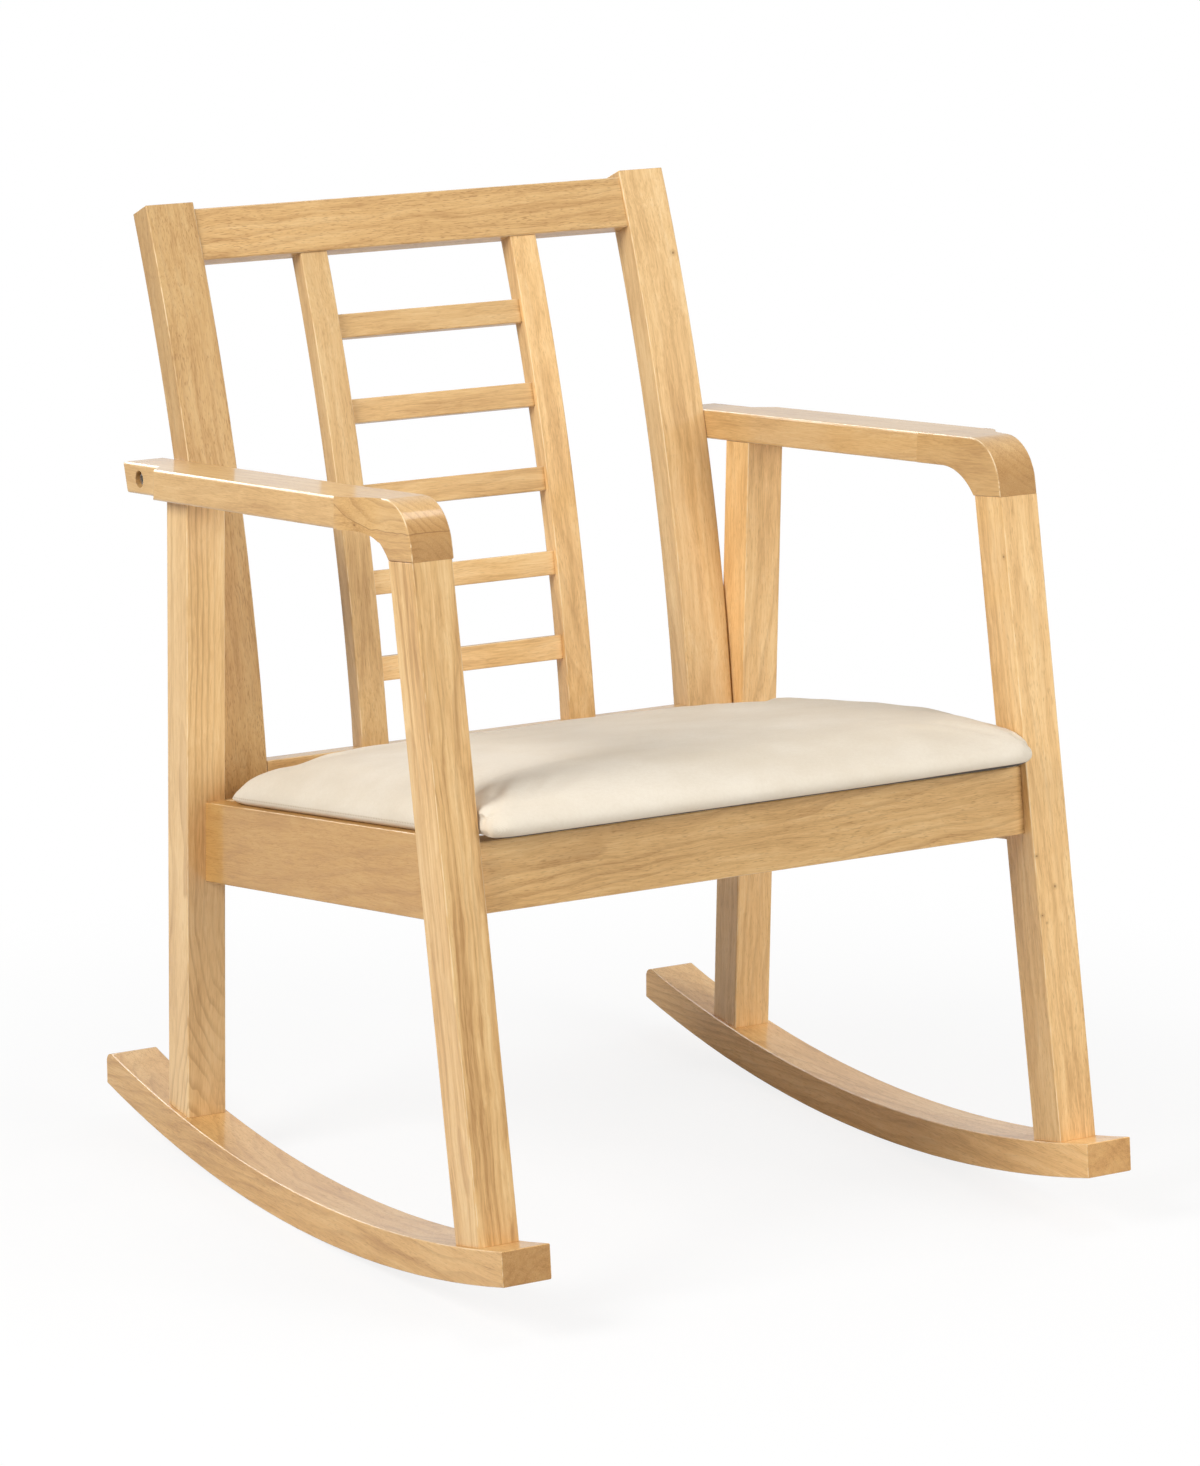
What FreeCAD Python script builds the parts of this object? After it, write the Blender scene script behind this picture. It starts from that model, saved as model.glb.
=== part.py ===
import FreeCAD, Part
import math
import os
from FreeCAD import Vector

# Rocking chair with a five-slat ladder back, arms that turn down into the
# front legs and an upholstered seat. X runs across, the front faces -Y, Z is up.
# The side frames are drawn with the rear legs upright and their back edge at
# Y 0, then the whole chair is tipped forward by rest_tilt, its balance angle.

# angles in degrees
rest_tilt = 1.75
front_leg_lean = 12.65
seat_rise = 9.76
arm_rise = 6.86
corner_joint_rise = 9.05
arm_tail_lean = 19.0
rocker_nose_lean = 7.3
right_angle = 90.0
full_turn = 360.0

# side frames
leg_outer = 300.0
leg_width = 37.0
rear_leg_depth = 38.0
front_leg_depth = 40.0
front_leg_foot = 574.4
rocker_radius = 1549.0
rocker_depth = 31.8
rocker_top_radius = 1588.3
rocker_width = 45.0
rocker_overhang = 4.5
rocker_middle = 165.6
rocker_front = 610.5
rocker_back = 116.0
rocker_tail_round = 9.0

# arms
arm_height = 610.3
arm_thickness = 26.7
arm_overhang = 16.4
arm_tail_overhang = 2.0
arm_tail = 80.5
arm_step_back = 12.0
arm_step_front = 8.0
arm_joint_outer = 336.0
arm_joint_inner = 311.0
arm_neck_back = 337.0
arm_neck_front = 383.0
corner_outer_radius = 41.0
corner_inner_radius = 58.0
corner_depth = 47.14

# back frame, bent to one centre behind the chair
bend_radius = 1753.7
bend_centre_back = 1710.2
bend_centre_height = 82.6
post_gap = 1.6
post_width = 46.4
post_depth = 27.7
post_below_seat = 52.2
post_top = 816.3
top_rail_drop = 5.6
top_rail_height = 46.3
top_rail_depth = 22.0
top_rail_recess = 2.0
lower_rail_above_seat = 32.4
lower_rail_height = 60.0
lower_rail_depth = 22.0
stile_outer = 119.2
stile_width = 26.8
stile_depth = 18.0
stile_recess = 4.0
slat_count = 5
slat_height = 21.5
slat_depth = 12.0
slat_recess = 9.0
slat_below_rail = 56.36
slat_above_rail = 74.5
slat_tenon = 10.0

# seat frame, measured from the plane of the rail tops
seat_height = 314.2
side_rail_depth = 19.5
side_rail_height = 70.0
front_rail_depth = 20.0
front_rail_setback = 10.6
front_rail_drop = 5.0
front_rail_height = 58.0
rear_rail_depth = 20.0
rear_rail_height = 50.0
brace_leg = 56.0
brace_height = 22.0
brace_drop = 6.0
brace_corner_cut = 8.0

# upholstered seat
cover_skin = 1.2
cover_hem = 34.0
board_depth = 12.0
board_inset = 7.0
cushion_lift = 0.3
cushion_side_gap = 1.5
cushion_leg_gap = 1.0
cushion_back_gap = 4.08
cushion_shoulder_gap = 7.2
cushion_overhang = 35.14
cushion_back_corner = 50.0
cushion_side_corner = 9.0
cushion_front_corner = 12.0
cushion_crown = 44.0
# shares of the crown height, and how far each level is drawn in from the
# widest outline at the back, the sides and the front
cushion_level_shares = (0.0, 0.18, 0.45, 0.68, 0.85, 0.95, 1.0)
cushion_back_insets = (5.0, 0.0, 5.0, 16.0, 40.0, 84.0, 130.0)
cushion_side_insets = (4.0, 0.0, 3.0, 11.0, 34.0, 78.0, 130.0)
cushion_front_insets = (12.0, 0.0, 13.0, 40.0, 78.0, 128.0, 190.0)

# hardware and dowels
dowel_radius = 4.0
dowel_length = 40.0
leg_dowel_radius = 6.0
leg_dowel_length = 46.0
leg_dowel_in_rocker = 18.0
short_dowel_length = 28.0
glue_gap = 0.1
end_gap = 1.0
bolt_radius = 3.0
bolt_head_radius = 5.0
bolt_head_height = 6.0
bolt_socket_width = 5.0
bolt_socket_depth = 3.0
arm_bolt_length = 44.0
arm_bolt_back = 50.0
back_bolt_length = 34.0
counterbore_radius = 7.5
counterbore_depth = 9.0
washer_radius = 7.0
washer_thickness = 1.2
insert_radius = 5.0
insert_length = 14.0
screw_radius = 2.0
screw_head_radius = 4.0
screw_head_height = 2.4
brace_screw_length = 30.0
seat_screw_length = 32.0
hex_sides = 6

# where the dowels and bolts sit, as shares of the piece they join
rail_dowel_shares = (0.26, 0.74)
back_bolt_x_share = 0.62
brace_screw_shares = (0.3, 0.7)
front_dowel_shares = (0.42, 0.64)
rear_dowel_shares = (0.56, 0.78)
rear_dowel_depth_share = 0.26
seat_screw_share = 0.36
bolt_run_share = 0.25
lower_dowel_shares = (0.3, 0.7)
half = 0.5

sides = ((-1, "left"), (1, "right"))
leg_inner = leg_outer - leg_width
post_outer = leg_inner - post_gap
arm_outer = leg_outer + arm_overhang
arm_tail_outer = leg_outer + arm_tail_overhang
rocker_outer = leg_outer + rocker_overhang
rocker_inner = rocker_outer - rocker_width
post_inner = post_outer - post_width
stile_inner = stile_outer - stile_width
leg_middle = (leg_outer + leg_inner) * half
stile_middle = (stile_outer + stile_inner) * half
side_rail_outer = leg_inner + side_rail_depth
arm_reach = arm_height + arm_height
span = rocker_radius + rocker_radius

x_axis = Vector(1, 0, 0)
rocker_centre = Vector(0, -rocker_middle, rocker_radius)
rocker_top_centre = Vector(0, -rocker_middle, rocker_depth + rocker_top_radius)
bend_centre = Vector(0, bend_centre_back, bend_centre_height)
pieces = {}


def tan(angle):
    return math.tan(math.radians(angle))


def sin(angle):
    return math.sin(math.radians(angle))


def cos(angle):
    return math.cos(math.radians(angle))


def add(name, shape):
    pieces.setdefault(name, []).append(shape)


def crosswise(points, x_low, x_high):
    """Solid with an outline of (y, z) points, running from x_low to x_high."""
    wire = Part.makePolygon([Vector(x_low, y, z) for y, z in points + points[:1]])
    return Part.Face(wire).extrude(Vector(x_high - x_low, 0, 0))


def spread(side, inner, outer):
    """The two x places of a piece on one side, lowest first."""
    return sorted((side * inner, side * outer))


def meet(first, first_angle, second, second_angle):
    """Crossing of two lines in (y, z), each a point and a rise towards the front."""
    ay, az = -cos(first_angle), sin(first_angle)
    by, bz = -cos(second_angle), sin(second_angle)
    dy, dz = second[0] - first[0], second[1] - first[1]
    step = (dy * bz - dz * by) / (ay * bz - az * by)
    return first[0] + ay * step, first[1] + az * step


def shifted(point, angle, distance):
    """A point moved square to a line that rises towards the front, upwards."""
    return point[0] + sin(angle) * distance, point[1] + cos(angle) * distance


def peg(start, direction, radius, length):
    return Part.makeCylinder(radius, length, start, direction)


def bored(shape, pegs):
    """Holes for pegs given as (start, direction, radius, length)."""
    for start, direction, radius, length in pegs:
        axis = Vector(direction).normalize()
        hole = peg(start - axis * end_gap, axis, radius + glue_gap, length + end_gap + end_gap)
        shape = shape.cut(hole)
    return shape


def inside_rockers(shape):
    """Keeps what lies above the curved top of the rockers."""
    base = rocker_top_centre - x_axis * span * half
    return shape.common(Part.makeCylinder(rocker_top_radius, span, base, x_axis))


# lines of the side frame, each a point in (y, z) with its rise
front_face_rise = right_angle + front_leg_lean
front_face = (-front_leg_foot, 0.0)
front_leg_back = (-front_leg_foot + front_leg_depth / cos(front_leg_lean), 0.0)
rear_front_face = (-rear_leg_depth, 0.0)
rear_back_face = (0.0, 0.0)
arm_top = (0.0, arm_height)
arm_under = shifted(arm_top, arm_rise, -arm_thickness)
arm_tip = meet(arm_top, arm_rise, front_face, front_face_rise)
corner_joint_height = arm_tip[1] - corner_depth
corner_joint = (-front_leg_foot + corner_joint_height * tan(front_leg_lean), corner_joint_height)
seat_plane = (0.0, seat_height)
side_rail_under = shifted(seat_plane, seat_rise, -side_rail_height)


def bend_point(radius, angle, x=0.0):
    """Point of the back frame, by radius and angle above the bend centre."""
    return Vector(x, bend_centre.y - radius * cos(angle), bend_centre.z + radius * sin(angle))


def bend_angle(radius, height):
    return math.degrees(math.asin((height - bend_centre_height) / radius))


def bent_bar(x_low, x_high, radius, depth, low, high):
    """Bar bent to the back's curve between two angles, cut square."""
    middle = (low + high) * half
    inner = radius - depth
    edges = [
        Part.Arc(bend_point(radius, low), bend_point(radius, middle), bend_point(radius, high)).toShape(),
        Part.makeLine(bend_point(radius, high), bend_point(inner, high)),
        Part.Arc(bend_point(inner, high), bend_point(inner, middle), bend_point(inner, low)).toShape(),
        Part.makeLine(bend_point(inner, low), bend_point(radius, low)),
    ]
    face = Part.Face(Part.Wire(edges))
    face.translate(Vector(x_low, 0, 0))
    return face.extrude(Vector(x_high - x_low, 0, 0))


def cross_board(x_low, x_high, radius, depth, middle, height):
    """Straight board across the back, flat to the curve at its middle angle."""
    centre = bend_point(radius, middle)
    outward = Vector(0, -cos(middle), sin(middle))
    upward = Vector(0, sin(middle), cos(middle))
    corners = []
    for along, across in ((half, 0.0), (half, 1.0), (-half, 1.0), (-half, 0.0)):
        corner = centre + upward * height * along - outward * depth * across
        corners.append((corner.y, corner.z))
    return crosswise(corners, x_low, x_high)


def rail_space(middle, height):
    """The room of a rail of the back, deeper than the rail itself."""
    return cross_board(-post_inner, post_inner, bend_radius + post_depth, post_depth * 2 + post_width,
                       middle, height)


# dowels between the rockers and the legs
def leg_pegs(side):
    places = []
    for point, lean, depth in ((rear_back_face, 0.0, rear_leg_depth),
                               (front_leg_back, front_leg_lean, front_leg_depth)):
        upward = Vector(0, sin(lean), cos(lean))
        middle = Vector(side * leg_middle, point[0], 0) - Vector(0, cos(lean), -sin(lean)) * depth * half
        drop = middle - rocker_top_centre
        drop.x = 0
        along = drop.dot(upward)
        reach = -along - math.sqrt(along ** 2 - drop.dot(drop) + rocker_top_radius ** 2)
        foot = middle + upward * reach
        places.append((foot - upward * leg_dowel_in_rocker, upward, leg_dowel_radius, leg_dowel_length))
    return places


# dowels between the legs, the arms and the corner pieces
def rear_arm_peg(side):
    y = -rear_leg_depth * half
    z = arm_under[1] - (y - arm_under[0]) * tan(arm_rise)
    start = Vector(side * leg_middle, y, z - short_dowel_length * half)
    return (start, Vector(0, 0, 1), dowel_radius, short_dowel_length)


def front_arm_peg(side):
    upward = Vector(0, sin(front_leg_lean), cos(front_leg_lean))
    inward = Vector(0, cos(front_leg_lean), -sin(front_leg_lean))
    middle = Vector(side * leg_middle, corner_joint[0], corner_joint[1]) + inward * front_leg_depth * half
    return (middle - upward * dowel_length * half, upward, dowel_radius, dowel_length)


def arm_joint_pegs(side):
    forward = Vector(0, -cos(arm_rise), sin(arm_rise))
    places = []
    for share in rail_dowel_shares:
        x = post_outer + (leg_outer - post_outer) * share
        y = -(arm_joint_inner + arm_joint_outer) * half
        point = shifted((y, arm_height - y * tan(arm_rise)), arm_rise, -arm_thickness * half)
        middle = Vector(side * x, point[0], point[1])
        places.append((middle - forward * dowel_length * half, forward, dowel_radius, dowel_length))
    return places


# dowels between the side rails and the legs
def side_rail_pegs(side):
    forward = Vector(0, -cos(seat_rise), sin(seat_rise))
    places = []
    for share in rail_dowel_shares:
        line = shifted(seat_plane, seat_rise, -side_rail_height * share)
        for other, rise in ((rear_front_face, right_angle), (front_leg_back, front_face_rise)):
            y, z = meet(line, seat_rise, other, rise)
            middle = Vector(side * (leg_inner + side_rail_depth * half), y, z)
            places.append((middle - forward * dowel_length * half, forward, dowel_radius, dowel_length))
    return places


seat_ahead = Vector(0, -cos(seat_rise), sin(seat_rise))
seat_upward = Vector(0, sin(seat_rise), cos(seat_rise))


def seat_point(x, forward, up):
    """Point from places measured along and square to the seat plane."""
    return Vector(x, 0, seat_height) + seat_ahead * forward + seat_upward * up


def to_seat(shape):
    """Moves a solid drawn flat, front towards -Y, onto the seat plane."""
    shape.rotate(Vector(0, 0, 0), x_axis, -seat_rise)
    shape.translate(Vector(0, 0, seat_height))
    return shape


# the front rail, square to the seat plane and set back from the leg fronts
front_low = meet(shifted(seat_plane, seat_rise, -front_rail_drop - front_rail_height), seat_rise,
                 front_face, front_face_rise)
front_forward = -front_low[0] * cos(seat_rise) + (front_low[1] - seat_height) * sin(seat_rise)
front_rail_front = front_forward - front_rail_setback
front_rail_back = front_rail_front - front_rail_depth


def front_rail_pegs(side):
    places = []
    for share in front_dowel_shares:
        up = -front_rail_drop - front_rail_height * share
        middle = seat_point(side * leg_inner, front_rail_front - front_rail_depth * half, up)
        places.append((middle - x_axis * dowel_length * half, x_axis, dowel_radius, dowel_length))
    return places


# angles of the pieces of the back
lower_rail_top = seat_height + lower_rail_above_seat
slat_first = lower_rail_top + slat_above_rail
post_low = bend_angle(bend_radius, seat_height - post_below_seat)
post_high = bend_angle(bend_radius, post_top)
top_rail_radius = bend_radius - top_rail_recess
top_rail_high = post_high - math.degrees(top_rail_drop / bend_radius)
top_rail_middle = top_rail_high - math.degrees(top_rail_height * half / top_rail_radius)
top_rail_low = top_rail_high - math.degrees(top_rail_height / top_rail_radius)
lower_rail_high = bend_angle(bend_radius, lower_rail_top)
lower_rail_middle = lower_rail_high - math.degrees(lower_rail_height * half / bend_radius)
stile_radius = bend_radius - stile_recess
slat_radius = bend_radius - slat_recess
slat_half_angle = math.degrees(slat_height * half / slat_radius)
lowest_slat = bend_angle(slat_radius, slat_first) - slat_half_angle
highest_slat = top_rail_low - math.degrees(slat_below_rail / slat_radius) - slat_half_angle
slat_step = (highest_slat - lowest_slat) / (slat_count - 1)
slat_angles = [lowest_slat + slat_step * index for index in range(slat_count)]


def cross_pegs(side, middle, height, radius, depth, length):
    """Dowels along X between a rail of the back and a post."""
    places = []
    upward = Vector(0, sin(middle), cos(middle))
    for share in lower_dowel_shares:
        centre = bend_point(radius - depth * half, middle, side * post_inner)
        centre = centre + upward * height * (share - half)
        places.append((centre - x_axis * length * half, x_axis, dowel_radius, length))
    return places


def stile_pegs(side):
    places = []
    radius = stile_radius - stile_depth * half
    for angle in (lower_rail_high, top_rail_low):
        upward = Vector(0, sin(angle), cos(angle))
        centre = bend_point(radius, angle, side * stile_middle)
        places.append((centre - upward * short_dowel_length * half, upward, dowel_radius, short_dowel_length))
    return places


# the rear seat rail lies against the front of the lower back rail
lower_out = Vector(0, -cos(lower_rail_middle), sin(lower_rail_middle))
lower_face = bend_point(bend_radius, lower_rail_middle)
lower_face_rise = right_angle + lower_rail_middle
rear_rail_front_point = lower_face + lower_out * rear_rail_depth


def rear_rail_outline():
    corners = []
    low_line = shifted(seat_plane, seat_rise, -rear_rail_height)
    back = (lower_face.y, lower_face.z)
    front = (rear_rail_front_point.y, rear_rail_front_point.z)
    for line, face in ((seat_plane, back), (seat_plane, front), (low_line, front), (low_line, back)):
        corners.append(meet(line, seat_rise, face, lower_face_rise))
    return corners


def rear_rail_pegs(side):
    places = []
    corners = rear_rail_outline()
    y_low, z_low = corners[2]
    y_high, z_high = corners[1]
    inward = Vector(0, cos(lower_rail_middle), -sin(lower_rail_middle))
    inward = inward * rear_rail_depth * rear_dowel_depth_share
    for share in rear_dowel_shares:
        y = y_high + (y_low - y_high) * share
        z = z_high + (z_low - z_high) * share
        middle = Vector(side * leg_inner, y, z) + inward
        places.append((middle - x_axis * short_dowel_length * half, x_axis, dowel_radius, short_dowel_length))
    return places


def socket_bolt(start, direction, length):
    """Bolt with a round head and a hexagon socket; start is under the head."""
    axis = Vector(direction).normalize()
    shank = peg(start, axis, bolt_radius, length)
    head = peg(start - axis * bolt_head_height, axis, bolt_head_radius, bolt_head_height)
    side_step = axis.cross(Vector(0, sin(arm_rise), cos(arm_rise))).normalize()
    up_step = axis.cross(side_step)
    corners = []
    for corner in range(hex_sides + 1):
        turn = full_turn * corner / hex_sides
        reach = bolt_socket_width * half / cos(full_turn * half / hex_sides)
        offset = side_step * cos(turn) * reach + up_step * sin(turn) * reach
        corners.append(start - axis * bolt_head_height + offset)
    socket = Part.Face(Part.makePolygon(corners)).extrude(axis * bolt_socket_depth)
    return shank.fuse(head).cut(socket).removeSplitter()


def washer(start, direction):
    disc = peg(start, direction, washer_radius, washer_thickness)
    return disc.cut(peg(start, direction, bolt_radius + glue_gap, washer_thickness))


def insert_nut(start, direction):
    disc = peg(start, direction, insert_radius, insert_length)
    return disc.cut(peg(start, direction, bolt_radius, insert_length))


def arm_bolt_place(side):
    """Middle of the arm's tail on its outer face, with the way in."""
    y = arm_bolt_back
    point = shifted((y, arm_height - y * tan(arm_rise)), arm_rise, -arm_thickness * half)
    return Vector(side * arm_tail_outer, point[0], point[1]), Vector(-side, 0, 0)


def countersunk_screw(start, direction, length):
    """Wood screw; start is the middle of its flat head."""
    axis = Vector(direction).normalize()
    head = Part.makeCone(screw_head_radius, screw_radius, screw_head_height, start, axis)
    return head.fuse(peg(start, axis, screw_radius, length)).removeSplitter()


# places of the braces in the corners of the seat frame
brace_back = front_rail_back
rear_corner = rear_rail_outline()[1]
rear_low_corner = rear_rail_outline()[2]


def seat_forward(point):
    return -point[0] * cos(seat_rise) + (point[1] - seat_height) * sin(seat_rise)


rear_brace_front = max(seat_forward(rear_corner), seat_forward(rear_low_corner))
brace_corners = []
for side, word in sides:
    brace_corners.append((side, brace_back, -1))
    brace_corners.append((side, rear_brace_front, 1))


def brace_outline(side, forward, way):
    """Three-cornered block in plan, with its inner corner cut off."""
    outline = (
        (side * (leg_inner - brace_corner_cut), forward),
        (side * leg_inner, forward + way * brace_corner_cut),
        (side * leg_inner, forward + way * brace_leg),
        (side * (leg_inner - brace_leg), forward),
    )
    return outline


def brace(side, forward, way):
    low = -brace_drop - brace_height
    corners = [seat_point(x, place, low) for x, place in brace_outline(side, forward, way)]
    return Part.Face(Part.makePolygon(corners + corners[:1])).extrude(seat_upward * brace_height)


def brace_screw_places(side, forward, way):
    """Screws from the slanting face, one into each rail of the corner."""
    low = -brace_drop - brace_height * half
    directions = (Vector(side, 0, 0), seat_ahead * -way)
    places = []
    for share, direction in zip(brace_screw_shares, directions):
        across = brace_leg * share
        along = forward + way * (brace_leg - across)
        face = seat_point(side * (leg_inner - across), along, low)
        places.append((face + direction * (screw_head_radius + end_gap), direction))
    return places


def seat_screw_place(side, forward, way):
    reach = brace_leg * seat_screw_share
    return seat_point(side * (leg_inner - reach), forward + way * reach, -brace_drop - brace_height)


# fasteners, gathered first so that the wood can be bored for them
all_leg_pegs = {side: leg_pegs(side) for side, word in sides}
all_back_pegs = {}
for side, word in sides:
    top_pegs = cross_pegs(side, top_rail_middle, top_rail_height, top_rail_radius, top_rail_depth,
                          dowel_length)
    low_pegs = cross_pegs(side, lower_rail_middle, lower_rail_height, bend_radius, lower_rail_depth,
                          dowel_length)
    all_back_pegs[side] = top_pegs + low_pegs
arm_nut_reach = arm_tail_outer - post_outer
back_bolt_places = []
back_up = Vector(0, sin(lower_rail_middle), cos(lower_rail_middle))
for side, word in sides:
    for share in rail_dowel_shares:
        x = side * post_inner * back_bolt_x_share
        place = lower_face - lower_out * lower_rail_depth + back_up * rear_rail_height * (half - share)
        back_bolt_places.append(Vector(x, place.y, place.z))
back_bolt_seat = counterbore_depth + washer_thickness


def arc_under_arm(finish, line_point, radius):
    """Arc that leaves a line of the arm smoothly and ends at a point below it."""
    ahead = Vector(0, -cos(arm_rise), sin(arm_rise))
    below = Vector(0, -sin(arm_rise), -cos(arm_rise))
    away = finish - Vector(0, line_point[0], line_point[1])
    depth = away.dot(below)
    run = math.sqrt(radius * radius - (radius - depth) * (radius - depth))
    start = finish - below * depth - ahead * run
    centre = start + below * radius
    towards = (start - centre).normalize() + (finish - centre).normalize()
    return start, centre + towards.normalize() * radius, finish


def make_rocker(side):
    x_low, x_high = spread(side, rocker_inner, rocker_outer)
    base = Vector(x_low, rocker_centre.y, rocker_centre.z)
    ring = Part.makeCylinder(rocker_radius, rocker_width, base, x_axis)
    base = Vector(x_low, rocker_top_centre.y, rocker_top_centre.z)
    ring = ring.cut(Part.makeCylinder(rocker_top_radius, rocker_width, base, x_axis))
    nose_low = (-rocker_front, 0.0)
    nose_high = meet(nose_low, right_angle + rocker_nose_lean, (0.0, arm_height), 0.0)
    window = crosswise([nose_low, nose_high, (rocker_back, arm_height), (rocker_back, 0.0)], x_low, x_high)
    rocker = ring.common(window)
    tail_edges = []
    for edge in rocker.Edges:
        box = edge.BoundBox
        if box.XLength > rocker_width * half and box.YMin > rocker_back - glue_gap:
            tail_edges.append((box.ZMin, edge))
    tail_edges.sort(key=lambda pair: pair[0])
    return rocker.makeFillet(rocker_tail_round, [tail_edges[-1][1]])


def make_rear_leg(side):
    x_low, x_high = spread(side, leg_inner, leg_outer)
    top_back = meet(arm_under, arm_rise, rear_back_face, right_angle)
    top_front = meet(arm_under, arm_rise, rear_front_face, right_angle)
    return inside_rockers(crosswise([rear_back_face, top_back, top_front, rear_front_face], x_low, x_high))


def make_front_leg(side):
    x_low, x_high = spread(side, leg_inner, leg_outer)
    joint_back = meet(corner_joint, corner_joint_rise, front_leg_back, front_face_rise)
    return inside_rockers(crosswise([front_leg_back, joint_back, corner_joint, front_face], x_low, x_high))


def arm_side_view(side):
    """The arm with its turned-down corner, as wide as the arm is anywhere."""
    run = corner_outer_radius / tan((front_face_rise - arm_rise) * half)
    down = Vector(0, -sin(front_leg_lean), -cos(front_leg_lean))
    arc_end = Vector(0, arm_tip[0], arm_tip[1]) + down * run
    start, middle, finish = arc_under_arm(arc_end, arm_top, corner_outer_radius)
    joint_back = meet(corner_joint, corner_joint_rise, front_leg_back, front_face_rise)
    joint_back = Vector(0, joint_back[0], joint_back[1])
    inner_start, inner_middle, inner_finish = arc_under_arm(joint_back, arm_under, corner_inner_radius)
    tail_top = Vector(0, arm_tail, arm_height - arm_tail * tan(arm_rise))
    tail_low = meet((tail_top.y, tail_top.z), right_angle + arm_tail_lean, arm_under, arm_rise)
    tail_low = Vector(0, tail_low[0], tail_low[1])
    leg_end = Vector(0, front_face[0], front_face[1])
    leg_back_end = Vector(0, front_leg_back[0], front_leg_back[1])
    edges = [
        Part.makeLine(tail_top, start),
        Part.Arc(start, middle, finish).toShape(),
        Part.makeLine(finish, leg_end),
        Part.makeLine(leg_end, leg_back_end),
        Part.makeLine(leg_back_end, inner_finish),
        Part.Arc(inner_finish, inner_middle, inner_start).toShape(),
        Part.makeLine(inner_start, tail_low),
        Part.makeLine(tail_low, tail_top),
    ]
    face = Part.Face(Part.Wire(edges))
    x_low, x_high = spread(side, post_outer, arm_outer)
    face.translate(Vector(x_low, 0, 0))
    bent = face.extrude(Vector(x_high - x_low, 0, 0))
    above_joint = crosswise([corner_joint,
                             meet(corner_joint, corner_joint_rise, (-arm_height, 0.0), right_angle),
                             (-arm_height, arm_reach), (arm_height, arm_reach),
                             meet(corner_joint, corner_joint_rise, (arm_height, 0.0), right_angle)],
                            x_low, x_high)
    return bent.common(above_joint)


def plan(side, x, y):
    """Point in plan, y counted towards the front."""
    return Vector(side * x, -y, 0)


def arm_plan(side):
    """Plan outline: narrow tail, full width, then an S-shaped neck."""
    neck_x = (arm_outer + leg_outer) * half
    neck_y = (arm_neck_back + arm_neck_front) * half
    offset = arm_outer - neck_x
    length = arm_neck_front - neck_y
    neck_radius = (offset * offset + length * length) * half / offset
    sweep = math.degrees(math.asin(length / neck_radius)) * half
    rise_x = neck_radius - neck_radius * cos(sweep)
    rise_y = neck_radius * sin(sweep)
    line = Part.makeLine
    outline = [
        line(plan(side, post_outer, -arm_height), plan(side, arm_tail_outer, -arm_height)),
        line(plan(side, arm_tail_outer, -arm_height), plan(side, arm_tail_outer, -arm_step_back)),
        line(plan(side, arm_tail_outer, -arm_step_back), plan(side, arm_outer, arm_step_front)),
        line(plan(side, arm_outer, arm_step_front), plan(side, arm_outer, arm_neck_back)),
        Part.Arc(plan(side, arm_outer, arm_neck_back),
                 plan(side, arm_outer - rise_x, arm_neck_back + rise_y),
                 plan(side, neck_x, neck_y)).toShape(),
        Part.Arc(plan(side, neck_x, neck_y),
                 plan(side, leg_outer + rise_x, arm_neck_front - rise_y),
                 plan(side, leg_outer, arm_neck_front)).toShape(),
        line(plan(side, leg_outer, arm_neck_front), plan(side, leg_outer, arm_height)),
        line(plan(side, leg_outer, arm_height), plan(side, post_outer, arm_height)),
        line(plan(side, post_outer, arm_height), plan(side, post_outer, -arm_height)),
    ]
    return Part.Face(Part.Wire(outline)).extrude(Vector(0, 0, arm_reach))


def behind_joint(side):
    """The room behind the oblique joint of arm and corner piece."""
    corners = [plan(side, post_outer, -arm_height), plan(side, arm_outer, -arm_height),
               plan(side, arm_outer, arm_joint_outer), plan(side, post_outer, arm_joint_inner),
               plan(side, post_outer, -arm_height)]
    return Part.Face(Part.makePolygon(corners)).extrude(Vector(0, 0, arm_reach))


def make_side_rail(side):
    x_low, x_high = spread(side, leg_inner, side_rail_outer)
    corners = []
    for line, face_point, rise in ((seat_plane, rear_front_face, right_angle),
                                   (seat_plane, front_leg_back, front_face_rise),
                                   (side_rail_under, front_leg_back, front_face_rise),
                                   (side_rail_under, rear_front_face, right_angle)):
        corners.append(meet(line, seat_rise, face_point, rise))
    return crosswise(corners, x_low, x_high)


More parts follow.
